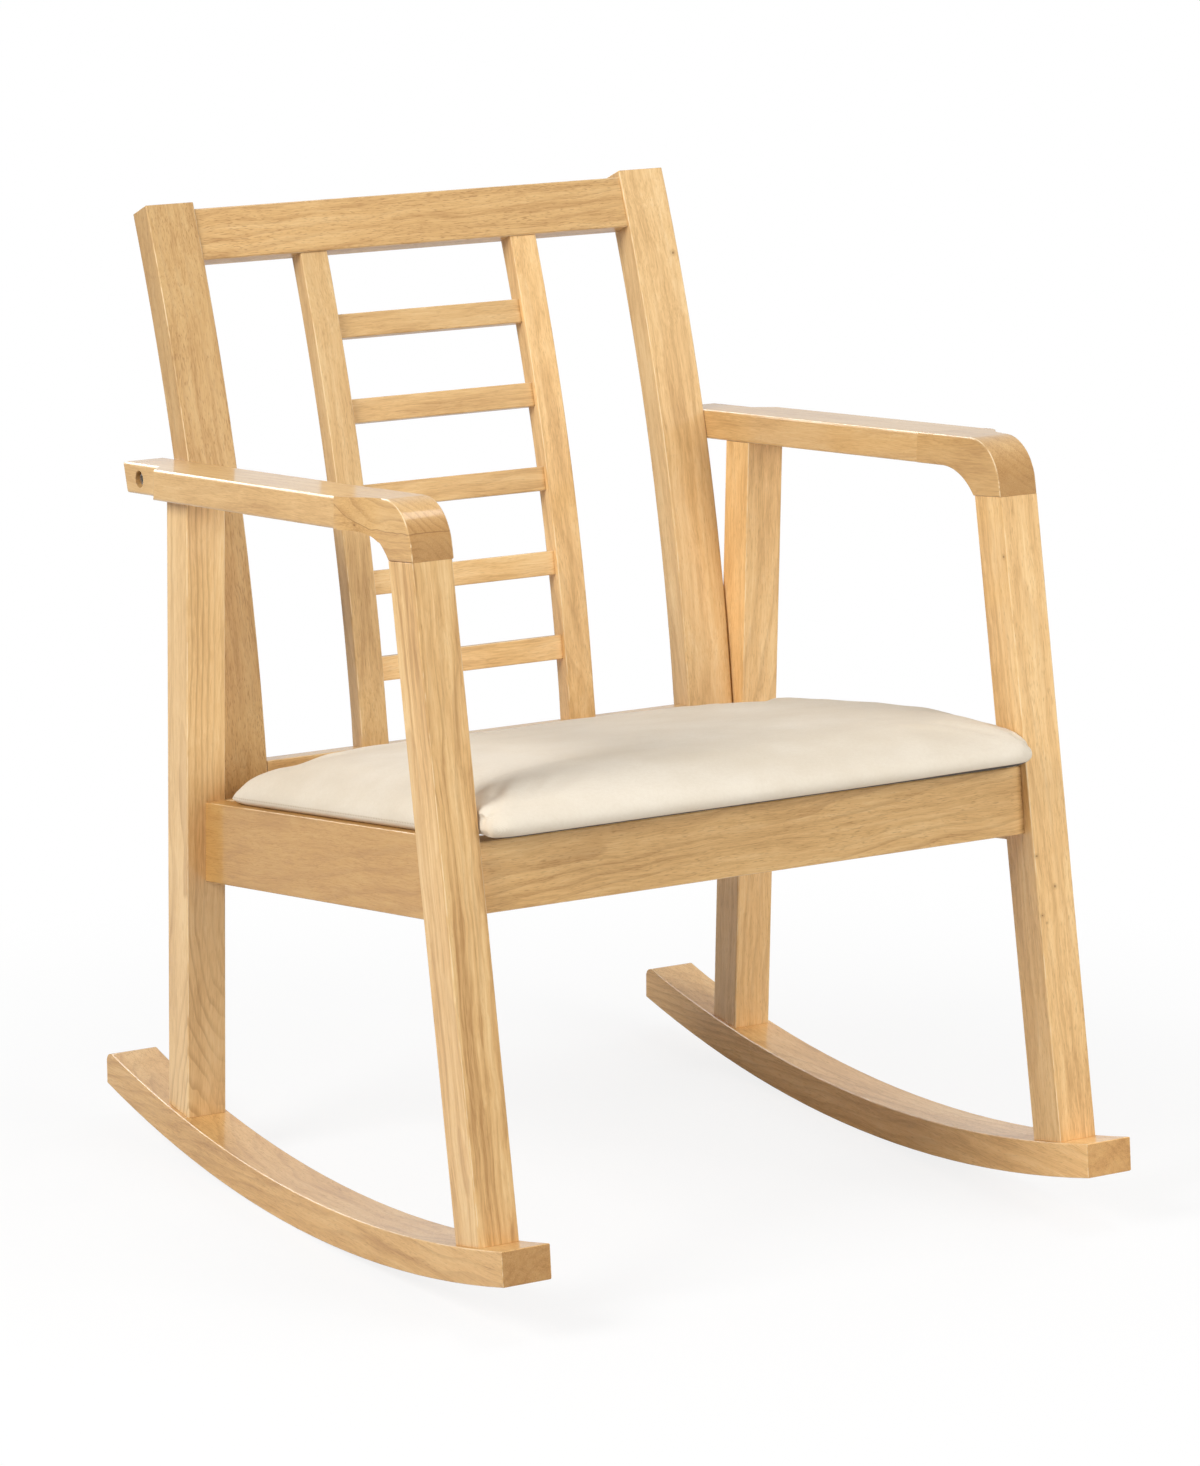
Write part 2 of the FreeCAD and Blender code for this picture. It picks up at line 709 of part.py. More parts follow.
# the two side frames, with their dowels and the bolts of the arms
for side, word in sides:
    foot_rear, foot_front = all_leg_pegs[side]
    add(word + "_rocker", bored(make_rocker(side), [foot_rear, foot_front]))
    pegs = [foot_rear, rear_arm_peg(side)] + side_rail_pegs(side) + rear_rail_pegs(side)
    add(word + "_rear_leg", bored(make_rear_leg(side), pegs))
    pegs = [foot_front, front_arm_peg(side)] + side_rail_pegs(side) + front_rail_pegs(side)
    add(word + "_front_leg", bored(make_front_leg(side), pegs))
    pegs = side_rail_pegs(side) + rear_rail_pegs(side)
    add(word + "_side_rail", bored(make_side_rail(side), pegs))

    bent = arm_side_view(side).common(arm_plan(side))
    rail = bent.common(behind_joint(side))
    rail = bored(rail, [rear_arm_peg(side)] + arm_joint_pegs(side))
    place, inward = arm_bolt_place(side)
    rail = rail.cut(peg(place, inward, counterbore_radius, counterbore_depth + washer_thickness))
    rail = rail.cut(peg(place, inward, bolt_radius + glue_gap, arm_nut_reach))
    add(word + "_arm_rail", rail)
    corner = bent.cut(behind_joint(side))
    add(word + "_arm_corner", bored(corner, [front_arm_peg(side)] + arm_joint_pegs(side)))

    seat = place + inward * counterbore_depth
    add("arm_washers", washer(seat, inward))
    add("arm_bolts", socket_bolt(seat, inward, arm_bolt_length))
    add("arm_inserts", insert_nut(place + inward * arm_nut_reach, inward))

    for item in side_rail_pegs(side) + front_rail_pegs(side) + rear_rail_pegs(side):
        add("rail_dowels", peg(*item))
    for item in all_leg_pegs[side]:
        add("rocker_dowels", peg(*item))
    for item in [rear_arm_peg(side), front_arm_peg(side)] + arm_joint_pegs(side):
        add("arm_dowels", peg(*item))
    for item in all_back_pegs[side] + stile_pegs(side):
        add("back_dowels", peg(*item))

# back frame
for side, word in sides:
    x_low, x_high = spread(side, post_inner, post_outer)
    post = bored(bent_bar(x_low, x_high, bend_radius, post_depth, post_low, post_high), all_back_pegs[side])
    place, inward = arm_bolt_place(side)
    post = post.cut(peg(place + inward * arm_nut_reach, inward, insert_radius, insert_length + glue_gap))
    nut_end = place + inward * (arm_nut_reach + insert_length)
    post = post.cut(peg(nut_end, inward, bolt_radius + glue_gap, arm_bolt_length * bolt_run_share))
    add(word + "_back_post", post)

    x_low, x_high = spread(side, stile_inner, stile_outer)
    stile = bent_bar(x_low, x_high, stile_radius, stile_depth, lower_rail_middle, top_rail_middle)
    stile = stile.cut(rail_space(lower_rail_middle, lower_rail_height))
    stile = stile.cut(rail_space(top_rail_middle, top_rail_height))
    for index, angle in enumerate(slat_angles):
        reach = stile_inner + slat_tenon
        board = cross_board(-reach, reach, slat_radius, slat_depth, angle, slat_height)
        stile = stile.cut(board)
    add(word + "_back_stile", bored(stile, stile_pegs(side)))

for index, angle in enumerate(slat_angles):
    reach = stile_inner + slat_tenon
    add("back_slat_" + str(slat_count - index),
        cross_board(-reach, reach, slat_radius, slat_depth, angle, slat_height))

top_rail = cross_board(-post_inner, post_inner, top_rail_radius, top_rail_depth, top_rail_middle,
                       top_rail_height)
lower_rail = cross_board(-post_inner, post_inner, bend_radius, lower_rail_depth, lower_rail_middle,
                         lower_rail_height)
for side, word in sides:
    top_rail = bored(top_rail, all_back_pegs[side] + stile_pegs(side))
    lower_rail = bored(lower_rail, all_back_pegs[side] + stile_pegs(side))
for place in back_bolt_places:
    lower_rail = lower_rail.cut(peg(place, lower_out, counterbore_radius, back_bolt_seat))
    lower_rail = lower_rail.cut(peg(place, lower_out, bolt_radius + glue_gap, lower_rail_depth))
add("back_top_rail", top_rail)
add("back_lower_rail", lower_rail)

# seat frame
front_rail = crosswise([(seat_point(0, forward, up).y, seat_point(0, forward, up).z) for forward, up in (
    (front_rail_back, -front_rail_drop), (front_rail_front, -front_rail_drop),
    (front_rail_front, -front_rail_drop - front_rail_height),
    (front_rail_back, -front_rail_drop - front_rail_height))], -leg_inner, leg_inner)
rear_rail = crosswise(rear_rail_outline(), -leg_inner, leg_inner)
for side, word in sides:
    front_rail = bored(front_rail, front_rail_pegs(side))
    rear_rail = bored(rear_rail, rear_rail_pegs(side))
for place in back_bolt_places:
    start = place + lower_out * lower_rail_depth
    rear_rail = rear_rail.cut(peg(start, lower_out, insert_radius, insert_length + glue_gap))
    seat = place + lower_out * counterbore_depth
    rear_rail = rear_rail.cut(peg(seat, lower_out, bolt_radius + glue_gap, back_bolt_length))
    add("back_inserts", insert_nut(start, lower_out))
    add("back_washers", washer(seat, lower_out))
    add("back_bolts", socket_bolt(seat, lower_out, back_bolt_length - washer_thickness))

for side, forward, way in brace_corners:
    block = brace(side, forward, way)
    for start, direction in brace_screw_places(side, forward, way):
        screw = countersunk_screw(start, direction, brace_screw_length)
        pocket = peg(start - direction * brace_height, direction, screw_head_radius + glue_gap, brace_height)
        block = block.cut(screw).cut(pocket)
        front_rail = front_rail.cut(screw)
        rear_rail = rear_rail.cut(screw)
        for word in ("left", "right"):
            rail = pieces[word + "_side_rail"]
            rail[0] = rail[0].cut(screw)
        add("brace_screws", screw)
    screw = countersunk_screw(seat_screw_place(side, forward, way), seat_upward, seat_screw_length)
    block = block.cut(screw)
    add("seat_screws", screw)
    add("front_braces" if way < 0 else "rear_braces", block)
add("front_seat_rail", front_rail)
add("rear_seat_rail", rear_rail)


# upholstered seat
def rounded_outline(points, radii, height):
    """Closed outline of lines and arcs through the corners, at one height."""
    edges = []
    corners = []
    places = [Vector(x, y, height) for x, y in points]
    for before, here, after, radius in zip(places[-1:] + places, places, places[1:] + places[:1], radii):
        back = (before - here).normalize()
        ahead = (after - here).normalize()
        start = here + back * radius
        finish = here + ahead * radius
        centre = here + back * radius + ahead * radius
        middle = centre + (here - centre).normalize() * radius
        corners.append((start, middle, finish))
    for corner, following in zip(corners, corners[1:] + corners[:1]):
        edges.append(Part.Arc(*corner).toShape())
        edges.append(Part.makeLine(corner[-1], following[0]))
    return Part.Wire(edges)


cushion_half = side_rail_outer - cushion_side_gap
cushion_front_half = leg_inner - cushion_leg_gap
cushion_back = seat_forward(rear_corner) + cushion_back_gap
leg_meets_seat = meet(seat_plane, seat_rise, front_leg_back, front_face_rise)
cushion_shoulder = seat_forward(leg_meets_seat) - cushion_shoulder_gap
cushion_front = front_rail_front + cushion_overhang


def seat_outline(skin, back_inset, side_inset, front_inset, height):
    """Outline of the cushion with notches round the front legs."""
    wide = cushion_half - side_inset - skin
    narrow = cushion_front_half - min(side_inset, cushion_half) - skin
    back = -(cushion_back + back_inset + skin)
    shoulder_share = front_inset / cushion_front_insets[-1]
    shoulder = -(cushion_shoulder - side_inset - cushion_back_corner * shoulder_share - skin)
    front = -(cushion_front - front_inset - skin)
    points = ((-wide, back), (wide, back), (wide, shoulder), (narrow, shoulder),
              (narrow, front), (-narrow, front), (-narrow, shoulder), (-wide, shoulder))
    radii = (cushion_back_corner, cushion_back_corner, cushion_side_corner, cushion_side_corner,
             cushion_front_corner, cushion_front_corner, cushion_side_corner, cushion_side_corner)
    return rounded_outline(points, radii, height)


def cushion_form(skin, low, levels):
    """Crowned form from the widest outline up, drawn in level by level."""
    wires = []
    for index in levels:
        height = low + (cushion_crown - skin - low) * cushion_level_shares[index]
        wires.append(seat_outline(skin, cushion_back_insets[index], cushion_side_insets[index],
                                  cushion_front_insets[index], height))
    return Part.makeLoft(wires, True, True)


levels = range(len(cushion_level_shares))
outer_form = cushion_form(0.0, cushion_lift, levels)
inner_form = cushion_form(cover_skin, cushion_lift + cover_skin, levels)
board_wire = seat_outline(board_inset, 0.0, 0.0, 0.0, cushion_lift + cover_skin)
board = Part.Face(board_wire).extrude(Vector(0, 0, board_depth))
board = board.common(inner_form)
hem_wire = seat_outline(cover_hem, 0.0, 0.0, 0.0, 0.0)
hem_opening = Part.Face(hem_wire).extrude(Vector(0, 0, cushion_lift + cover_skin))
foam = inner_form.cut(board)
cover = outer_form.cut(inner_form).cut(hem_opening)
board = to_seat(board)
cover = to_seat(cover)
for screw in pieces["seat_screws"]:
    board = board.cut(screw)
    cover = cover.cut(screw)
add("seat_board", board)
add("seat_foam", to_seat(foam))
add("seat_cover", cover)

# tip the chair to its balance and stand it over the origin
low_y = high_y = None
low_z = None
placed = {}
for name, solids in pieces.items():
    placed[name] = []
    for solid in solids:
        solid = solid.copy()
        solid.rotate(rocker_centre, x_axis, rest_tilt)
        placed[name].append(solid)
        box = solid.BoundBox
        low_y = box.YMin if low_y is None else min(low_y, box.YMin)
        high_y = box.YMax if high_y is None else max(high_y, box.YMax)
        low_z = box.ZMin if low_z is None else min(low_z, box.ZMin)
shift = Vector(0, -(low_y + high_y) * half, -low_z)

os.makedirs("parts", exist_ok=True)
for name, solids in placed.items():
    for solid in solids:
        solid.translate(shift)
    shape = solids[0] if len(solids) == 1 else Part.makeCompound(solids)
    shape.exportStep("parts/" + name + ".step")
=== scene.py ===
"""Looks of the ladder-back rocking chair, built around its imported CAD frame."""
import bpy
import bmesh
import math
from mathutils import Matrix, Vector, noise
from mathutils.bvhtree import BVHTree


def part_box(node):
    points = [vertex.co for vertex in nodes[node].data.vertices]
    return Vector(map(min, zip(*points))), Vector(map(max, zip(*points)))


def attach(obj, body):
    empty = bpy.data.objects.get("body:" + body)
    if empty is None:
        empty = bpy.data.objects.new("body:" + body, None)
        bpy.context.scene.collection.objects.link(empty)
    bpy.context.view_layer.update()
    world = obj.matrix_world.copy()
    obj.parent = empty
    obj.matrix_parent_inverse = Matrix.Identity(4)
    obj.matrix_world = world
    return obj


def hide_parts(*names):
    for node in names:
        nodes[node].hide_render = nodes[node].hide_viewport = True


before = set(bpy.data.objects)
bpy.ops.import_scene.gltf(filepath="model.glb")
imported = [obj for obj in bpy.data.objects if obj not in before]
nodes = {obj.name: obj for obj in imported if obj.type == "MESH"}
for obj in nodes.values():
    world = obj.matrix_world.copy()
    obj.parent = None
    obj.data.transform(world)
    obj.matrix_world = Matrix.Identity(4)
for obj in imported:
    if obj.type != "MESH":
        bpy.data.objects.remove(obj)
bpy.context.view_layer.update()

# camera, as the photograph was taken
camera_place = Vector((-2.36043, -3.99174, 1.45617))
camera_yaw = math.radians(30.537)
camera_pitch = math.radians(13.010)
camera_lens = 136.525
camera_shift = (0.00223, 0.00603)

# directions that the pieces run in
along_x = Vector((1, 0, 0))
seat_rise = math.radians(8.01)
arm_rise = math.radians(5.11)
front_leg_lean = math.radians(10.9)
rear_leg_lean = math.radians(-1.75)
back_lean = math.radians(13.6)


def upward(lean):
    """Unit vector that leans back by an angle from the vertical."""
    return Vector((0, math.sin(lean), math.cos(lean)))


def forward(rise):
    """Unit vector to the front that climbs by an angle."""
    return Vector((0, -math.cos(rise), math.sin(rise)))


class Graph:
    """A node tree with short calls that add and join its nodes."""

    def __init__(self, tree):
        self.tree = tree

    def put(self, socket, value):
        if isinstance(value, bpy.types.NodeSocket):
            self.tree.links.new(value, socket)
        else:
            socket.default_value = value

    def fill(self, node, inputs):
        for key, value in dict(inputs).items():
            self.put(node.inputs[key], value)

    def add(self, kind, inputs=(), **settings):
        made = self.tree.nodes.new(kind)
        for key, value in settings.items():
            setattr(made, key, value)
        self.fill(made, inputs)
        return made

    def math(self, operation, a, b=0.0):
        return self.add("ShaderNodeMath", {0: a, 1: b}, operation=operation).outputs[0]

    def plus(self, a, b):
        return self.math("ADD", a, b)

    def minus(self, a, b):
        return self.math("SUBTRACT", a, b)

    def times(self, a, b):
        return self.math("MULTIPLY", a, b)

    def swing(self, value, width):
        """A value between 0 and 1, moved to lie evenly about 0 and stretched to a width."""
        return self.times(self.minus(value, 0.5), width)

    def vector(self, operation, a, b):
        return self.add("ShaderNodeVectorMath", {0: a, 1: b}, operation=operation).outputs[0]

    def length(self, a):
        return self.add("ShaderNodeVectorMath", {0: a}, operation="LENGTH").outputs["Value"]

    def dot(self, a, b):
        return self.add("ShaderNodeVectorMath", {0: a, 1: b}, operation="DOT_PRODUCT").outputs["Value"]

    def place(self):
        return self.add("ShaderNodeTexCoord").outputs["Object"]

    def parts(self, vector):
        return self.add("ShaderNodeSeparateXYZ", {0: vector}).outputs

    def noise(self, place, scale, detail=2.0, roughness=0.5, output="Fac"):
        """Noise that repeats as often in a metre as the scale says for each coordinate."""
        made = self.add("ShaderNodeTexNoise", {"Vector": self.vector("MULTIPLY", place, scale), "Scale": 1.0,
                                               "Detail": detail, "Roughness": roughness})
        return made.outputs[output]

    def span(self, value, low, high, to_low=0.0, to_high=1.0, curve="SMOOTHSTEP"):
        made = self.add("ShaderNodeMapRange", {"Value": value, "From Min": low, "From Max": high,
                                               "To Min": to_low, "To Max": to_high}, interpolation_type=curve)
        return made.outputs["Result"]

    def mix(self, share, a, b, blend="MIX"):
        made = self.add("ShaderNodeMix", {0: share, 6: a, 7: b}, data_type="RGBA", blend_type=blend)
        return made.outputs[2]

    def bump(self, height, strength):
        made = self.add("ShaderNodeBump", {"Height": height, "Strength": strength, "Distance": relief_depth})
        return made.outputs["Normal"]


# depth that the fine relief of wood and cloth is shaded with, in metres
relief_depth = 0.0003


def paint(red, green, blue):
    """Linear colour of an sRGB colour given from 0 to 255."""
    def linear(level):
        share = level / 255
        return share / 12.92 if share <= 0.04045 else ((share + 0.055) / 1.055) ** 2.4
    return (linear(red), linear(green), linear(blue), 1.0)


def new_material(name):
    """Empty node material with its graph, Principled shader and output joined."""
    material = bpy.data.materials.new(name)
    material.use_nodes = True
    material.node_tree.nodes.clear()
    graph = Graph(material.node_tree)
    shader = graph.add("ShaderNodeBsdfPrincipled")
    graph.add("ShaderNodeOutputMaterial", {0: shader.outputs[0]})
    return material, graph, shader


# honey-finished rubberwood, and what its end grain is multiplied by
wood_light = paint(236, 203, 149)
wood_body = paint(221, 180, 122)
wood_dark = paint(184, 140, 86)
wood_pore = paint(146, 100, 54)
wood_line = paint(164, 116, 66)
# pale colour of the rounded edges, partly rubbed wear and partly a painted highlight
wood_wear_and_highlight = paint(252, 230, 190)
wood_knot = paint(112, 68, 30)
wood_glue = paint(118, 74, 36)
wood_end = (0.74, 0.66, 0.56, 1.0)

# relief, shine and clear coat of its finish
wood_relief = 0.30
wood_specular = 0.20
wood_coat = 0.65
wood_coat_roughness = 0.12

# noises of the wood: how often they repeat in a metre, twice across the grain and once along it
sway_scale = (34, 34, 11)
waver_scale = (26, 26, 3.2)
patch_scale = (24, 24, 5)
broad_scale = (105, 105, 2.0)
medium_scale = (300, 300, 5)
fibre_scale = (1000, 1000, 45)
blotch_scale = (24, 24, 9)
pore_scale = (1500, 1500, 150)
crowd_scale = (70, 70, 12)
wear_highlight_scale = (180, 180, 50)

# values between which each shows more and more, and the least and most that the patches and the edges' wear and
# painted highlight show
patch_range = (0.30, 0.65, 0.15, 1.0)
broad_range = (0.34, 0.66)
medium_range = (0.36, 0.64)
pore_range = (0.55, 0.76)
wear_highlight_range = (0.38, 0.60, 0.10, 0.65)

# how far the fibres sway in metres and the rings in rings, and how much of each noise the colour takes
sway_width = 0.011
ring_waver = 2.2
pore_crowding = 0.22
broad_weight = 0.36
medium_weight = 0.20
fibre_weight = 0.85
blotch_weight = 0.75
pore_weight = 0.55

# the late wood of a ring darkens over this part of it, then ends with the ring
late_start = 0.50
late_peak = 0.92

# how squarely a face has to meet the grain to show as end grain
end_range = (0.55, 0.95)

# how much the green follows a board's warmth, which sets its blue
green_share = 0.35

# roughness of the finish, and what fibres, pores and end grain add to it
wood_roughness = 0.36
fibre_roughness = 0.12
pore_roughness = 0.25
end_roughness = 0.06

# relief of the fibres and streaks, next to pores of depth 1
fibre_height = 0.5
medium_height = 0.8


def wood_group():
    """Node group that turns grain coordinates in metres into wood colour, roughness and height; the colour takes
    each board's tone and the pale edge line of wear and painted highlight.
    """
    tree = bpy.data.node_groups.new("wood_figure", "ShaderNodeTree")
    for label in ("Grain", "Pith", "Taper"):
        tree.interface.new_socket(label, in_out="INPUT", socket_type="NodeSocketVector")
    for label in ("Along", "Edge", "Shade", "Warmth", "Rings", "Figure", "Streak", "Fleck"):
        tree.interface.new_socket(label, in_out="INPUT", socket_type="NodeSocketFloat")
    for label, kind in (("Color", "Color"), ("Roughness", "Float"), ("Height", "Float")):
        tree.interface.new_socket(label, in_out="OUTPUT", socket_type="NodeSocket" + kind)
    graph = Graph(tree)
    source = graph.add("NodeGroupInput").outputs
    target = graph.add("NodeGroupOutput").inputs

    # the fibres sway sideways as they run
    sway = graph.vector("SUBTRACT", graph.noise(source["Grain"], sway_scale, output="Color"), (0.5, 0.5, 0.5))
    grain = graph.vector("ADD", source["Grain"], graph.vector("MULTIPLY", sway, (sway_width, sway_width, 0.0)))

    # growth rings round a tapering pith, wavering a little
    offset = graph.parts(graph.vector("SUBTRACT", grain, source["Pith"]))
    taper = graph.parts(source["Taper"])
    below = graph.times(graph.math("MAXIMUM", graph.times(offset[2], -1.0), 0.0), taper[0])
    above = graph.times(graph.math("MAXIMUM", offset[2], 0.0), taper[1])
    front = graph.plus(offset[1], graph.plus(below, above))
    squares = graph.plus(graph.times(offset[0], offset[0]), graph.times(front, front))
    waver = graph.swing(graph.noise(grain, waver_scale), ring_waver)
    ring = graph.math("FRACT", graph.plus(graph.times(graph.math("SQRT", squares), source["Rings"]), waver))
    late = graph.times(graph.span(ring, late_start, late_peak), graph.span(ring, late_peak, 1.0, 1.0, 0.0))
    late = graph.times(late, graph.span(graph.noise(grain, patch_scale, 1.0), *patch_range))

    # long streaks, fine fibres and broad blotches
    broad = graph.noise(grain, broad_scale, 2.0, 0.55)
    medium = graph.noise(grain, medium_scale, 2.0, 0.55)
    fibre = graph.noise(grain, fibre_scale, 2.0, 0.65)
    blotch = graph.noise(grain, blotch_scale, 3.0, 0.55)

    # pores, cut as short dark dashes that crowd in places
    pores = graph.noise(grain, pore_scale, 1.0, 0.4)
    crowd = graph.swing(graph.noise(grain, crowd_scale, 1.0), pore_crowding)
    pores = graph.times(graph.span(graph.plus(pores, crowd), *pore_range), source["Fleck"])

    bands = graph.swing(graph.span(broad, *broad_range), broad_weight)
    lines = graph.swing(graph.span(medium, *medium_range), medium_weight)
    streak = graph.times(graph.plus(bands, lines), source["Streak"])
    threads = graph.swing(fibre, fibre_weight)
    clouds = graph.swing(blotch, blotch_weight)
    level = graph.plus(graph.plus(streak, threads), graph.plus(clouds, 0.5))
    colour = graph.mix(graph.span(level, 0.0, 0.5, curve="LINEAR"), wood_dark, wood_body)
    colour = graph.mix(graph.span(level, 0.5, 1.0, curve="LINEAR"), colour, wood_light)
    colour = graph.mix(graph.times(late, source["Figure"]), colour, wood_line)
    colour = graph.mix(graph.times(pores, pore_weight), colour, wood_pore)

    # end grain soaks up more finish
    end = graph.span(graph.math("ABSOLUTE", source["Along"]), *end_range)
    colour = graph.mix(end, colour, graph.mix(1.0, colour, wood_end, "MULTIPLY"))

    # each board has its own depth of colour, on some boards raised as painted light, where less blue takes a
    # little green along, and its edges get a pale line that is partly wear and partly painted highlight
    green = graph.plus(graph.times(source["Warmth"], green_share), 1 - green_share)
    tint = graph.add("ShaderNodeCombineXYZ", {0: source["Shade"], 1: graph.times(source["Shade"], green),
                                              2: graph.times(source["Shade"], source["Warmth"])})
    colour = graph.vector("MULTIPLY", colour, tint.outputs[0])
    edge = graph.times(source["Edge"], graph.span(graph.noise(grain, wear_highlight_scale), *wear_highlight_range))
    graph.put(target["Color"], graph.mix(edge, colour, wood_wear_and_highlight))

    rough = graph.plus(graph.times(fibre, fibre_roughness), graph.times(pores, pore_roughness))
    rough = graph.plus(rough, graph.times(end, end_roughness))
    graph.put(target["Roughness"], graph.plus(rough, wood_roughness))
    height = graph.minus(graph.times(fibre, fibre_height), pores)
    graph.put(target["Height"], graph.plus(height, graph.times(medium, medium_height)))
    return tree


wood_figure = wood_group()


def piece_middle(name):
    """Middle of a CAD node's box."""
    low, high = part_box(name)
    return (low + high) / 2


def grain_turn(grain_axis, flat_axis):
    """Rotation that lays the grain along the third coordinate and the flat face across the first."""
    across = flat_axis.normalized()
    along = grain_axis.normalized()
    return Matrix((across, along.cross(across), along))


# the mask of the edges' wear and painted highlight rises and falls with how squarely the rounded edge looks to the
# side face
edge_rise = (0.15, 0.45)
edge_fall = (0.80, 0.66)

# how far apart in the noises the boards of two seeds lie, in metres, and the seed of a block's lower board
board_step = Vector((0.37, 0.61, 1.7))
lower_board_seed = 7.3


def wood(name, axis, face, seed, shade, warmth, figure, rings=95, streak=0.6, fleck=0.5,
         pith=(0.03, 0.05, 0.0), taper=(0.11, -0.11, 0.0), glue=None):
    """Wood material of one piece, with its own grain, tone, pale edges of wear and painted highlight and, for a
    glued-up block, its glue line.
    """
    material, graph, shader = new_material("wood_" + name)
    place = graph.add("ShaderNodeTexCoord").outputs
    turn = grain_turn(axis, face)
    along = graph.dot(place["Normal"], tuple(axis))
    # the rounded edges get a pale line, partly wear and partly painted highlight
    facing = graph.math("ABSOLUTE", graph.dot(place["Normal"], tuple(face)))
    edge = graph.times(graph.span(facing, *edge_rise), graph.span(facing, *edge_fall))

    def board(number, pith_place):
        shift = board_step * number
        grain = graph.add("ShaderNodeMapping", {"Vector": place["Object"], "Rotation": turn.to_euler("XYZ"),
                                                "Location": tuple(shift)}, vector_type="POINT")
        middle = turn @ piece_middle(name) + shift + Vector(pith_place)
        made = graph.add("ShaderNodeGroup", node_tree=wood_figure)
        for label, value in (("Grain", grain.outputs[0]), ("Pith", tuple(middle)), ("Taper", taper),
                             ("Along", along), ("Edge", edge), ("Shade", shade), ("Warmth", warmth),
                             ("Rings", rings), ("Figure", figure), ("Streak", streak), ("Fleck", fleck)):
            graph.put(made.inputs[label], value)
        return made.outputs

    figured = board(seed, pith)
    colour, rough, height = figured["Color"], figured["Roughness"], figured["Height"]
    if glue:
        lower = board(seed + lower_board_seed, glue)
        colour, rough, height = glue_up(graph, place["Object"], figured, lower)
    for spot, radius in small_knots.get(name, ()):
        colour, height = knot(graph, place["Object"], spot, radius, colour, height)
    graph.fill(shader, {"Base Color": colour, "Roughness": rough, "Normal": graph.bump(height, wood_relief),
                        "Specular IOR Level": wood_specular, "Coat Weight": wood_coat,
                        "Coat Roughness": wood_coat_roughness})
    return material


# pin knots and pits that the photograph shows: place and radius, in metres
small_knots = {
    "right_back_post": (((0.2553, 0.3059, 0.7508), 0.0015),),
    "right_front_leg": (((0.2630, -0.2172, 0.5564), 0.0014), ((0.2655, -0.2694, 0.3084), 0.0012),
                        ((0.2812, -0.2745, 0.2812), 0.0014), ((0.2660, -0.2788, 0.2587), 0.0011),
                        ((0.2700, -0.2800, 0.2520), 0.0008)),
    "left_arm_corner": (((-0.3097, -0.1340, 0.6254), 0.0010),),
}

# a knot's rim noise, its core and halo in radii, how dark both are, and how deep the core sinks
knot_rim_scale = (900, 900, 500)
knot_core_reach = 0.4
knot_halo_reach = 3
knot_halo_weight = 0.30
knot_core_weight = 0.6
knot_depth = 0.4


def knot(graph, place, spot, radius, colour, height):
    """Darkens and sinks the wood round one small knot, with a soft uneven rim."""
    ragged = graph.swing(graph.noise(place, knot_rim_scale), radius)
    gap = graph.plus(graph.length(graph.vector("SUBTRACT", place, spot)), ragged)
    core = graph.span(gap, radius * knot_core_reach, radius, 1.0, 0.0)
    halo = graph.span(gap, radius, radius * knot_halo_reach, knot_halo_weight, 0.0)
    colour = graph.mix(halo, colour, wood_line)
    colour = graph.mix(graph.times(core, knot_core_weight), colour, wood_knot)
    return colour, graph.minus(height, graph.times(core, knot_depth))


# glue line of the left arm's corner block: its height over the arm's plane, where it climbs towards the arm and
# how far, how it wavers, how wide it is and how softly the two boards meet, in metres
glue_height = 0.6075
glue_climb_from = 0.205
glue_climb_to = 0.160
glue_climb = 0.022
glue_waver_scale = (60, 60, 60)
glue_waver = 0.003
glue_width = 0.0006
glue_blend = 0.0003

# share of the line's width that is darkest, how dark it is, and how much it roughens the finish
glue_core = 0.3
glue_weight = 0.45
glue_roughness = 0.1


def glue_up(graph, place, upper, lower):
    """Two boards of one block, joined at a thin dark glue line."""
    ahead = graph.dot(place, tuple(forward(arm_rise)))
    above = graph.dot(place, tuple(forward(arm_rise).cross(along_x)))
    waver = graph.swing(graph.noise(place, glue_waver_scale), glue_waver)
    joint = graph.plus(graph.span(ahead, glue_climb_from, glue_climb_to, glue_height,
                                  glue_height + glue_climb), waver)
    gap = graph.minus(above, joint)
    line = graph.span(graph.math("ABSOLUTE", gap), glue_width * glue_core, glue_width, 1.0, 0.0)
    colour = graph.mix(graph.span(gap, -glue_blend, glue_blend), lower["Color"], upper["Color"])
    colour = graph.mix(graph.times(line, glue_weight), colour, wood_glue)
    rough = graph.plus(upper["Roughness"], graph.times(line, glue_roughness))
    return colour, rough, graph.minus(upper["Height"], line)


# how edges are told apart: turns between their faces, and shares of their run that lie along the axis
square_turn = math.pi / 2
square_leeway = 0.035
sharp_turn = math.radians(35)
soft_turn = math.radians(40)
flat_turn = math.radians(0.5)
across_share = 0.03
along_share = 0.9

# vertices closer than this are one, in metres; steps of a rounded edge; and how much large faces set the shading
weld_gap = 0.00002
bevel_segments = 3
face_weight = 80


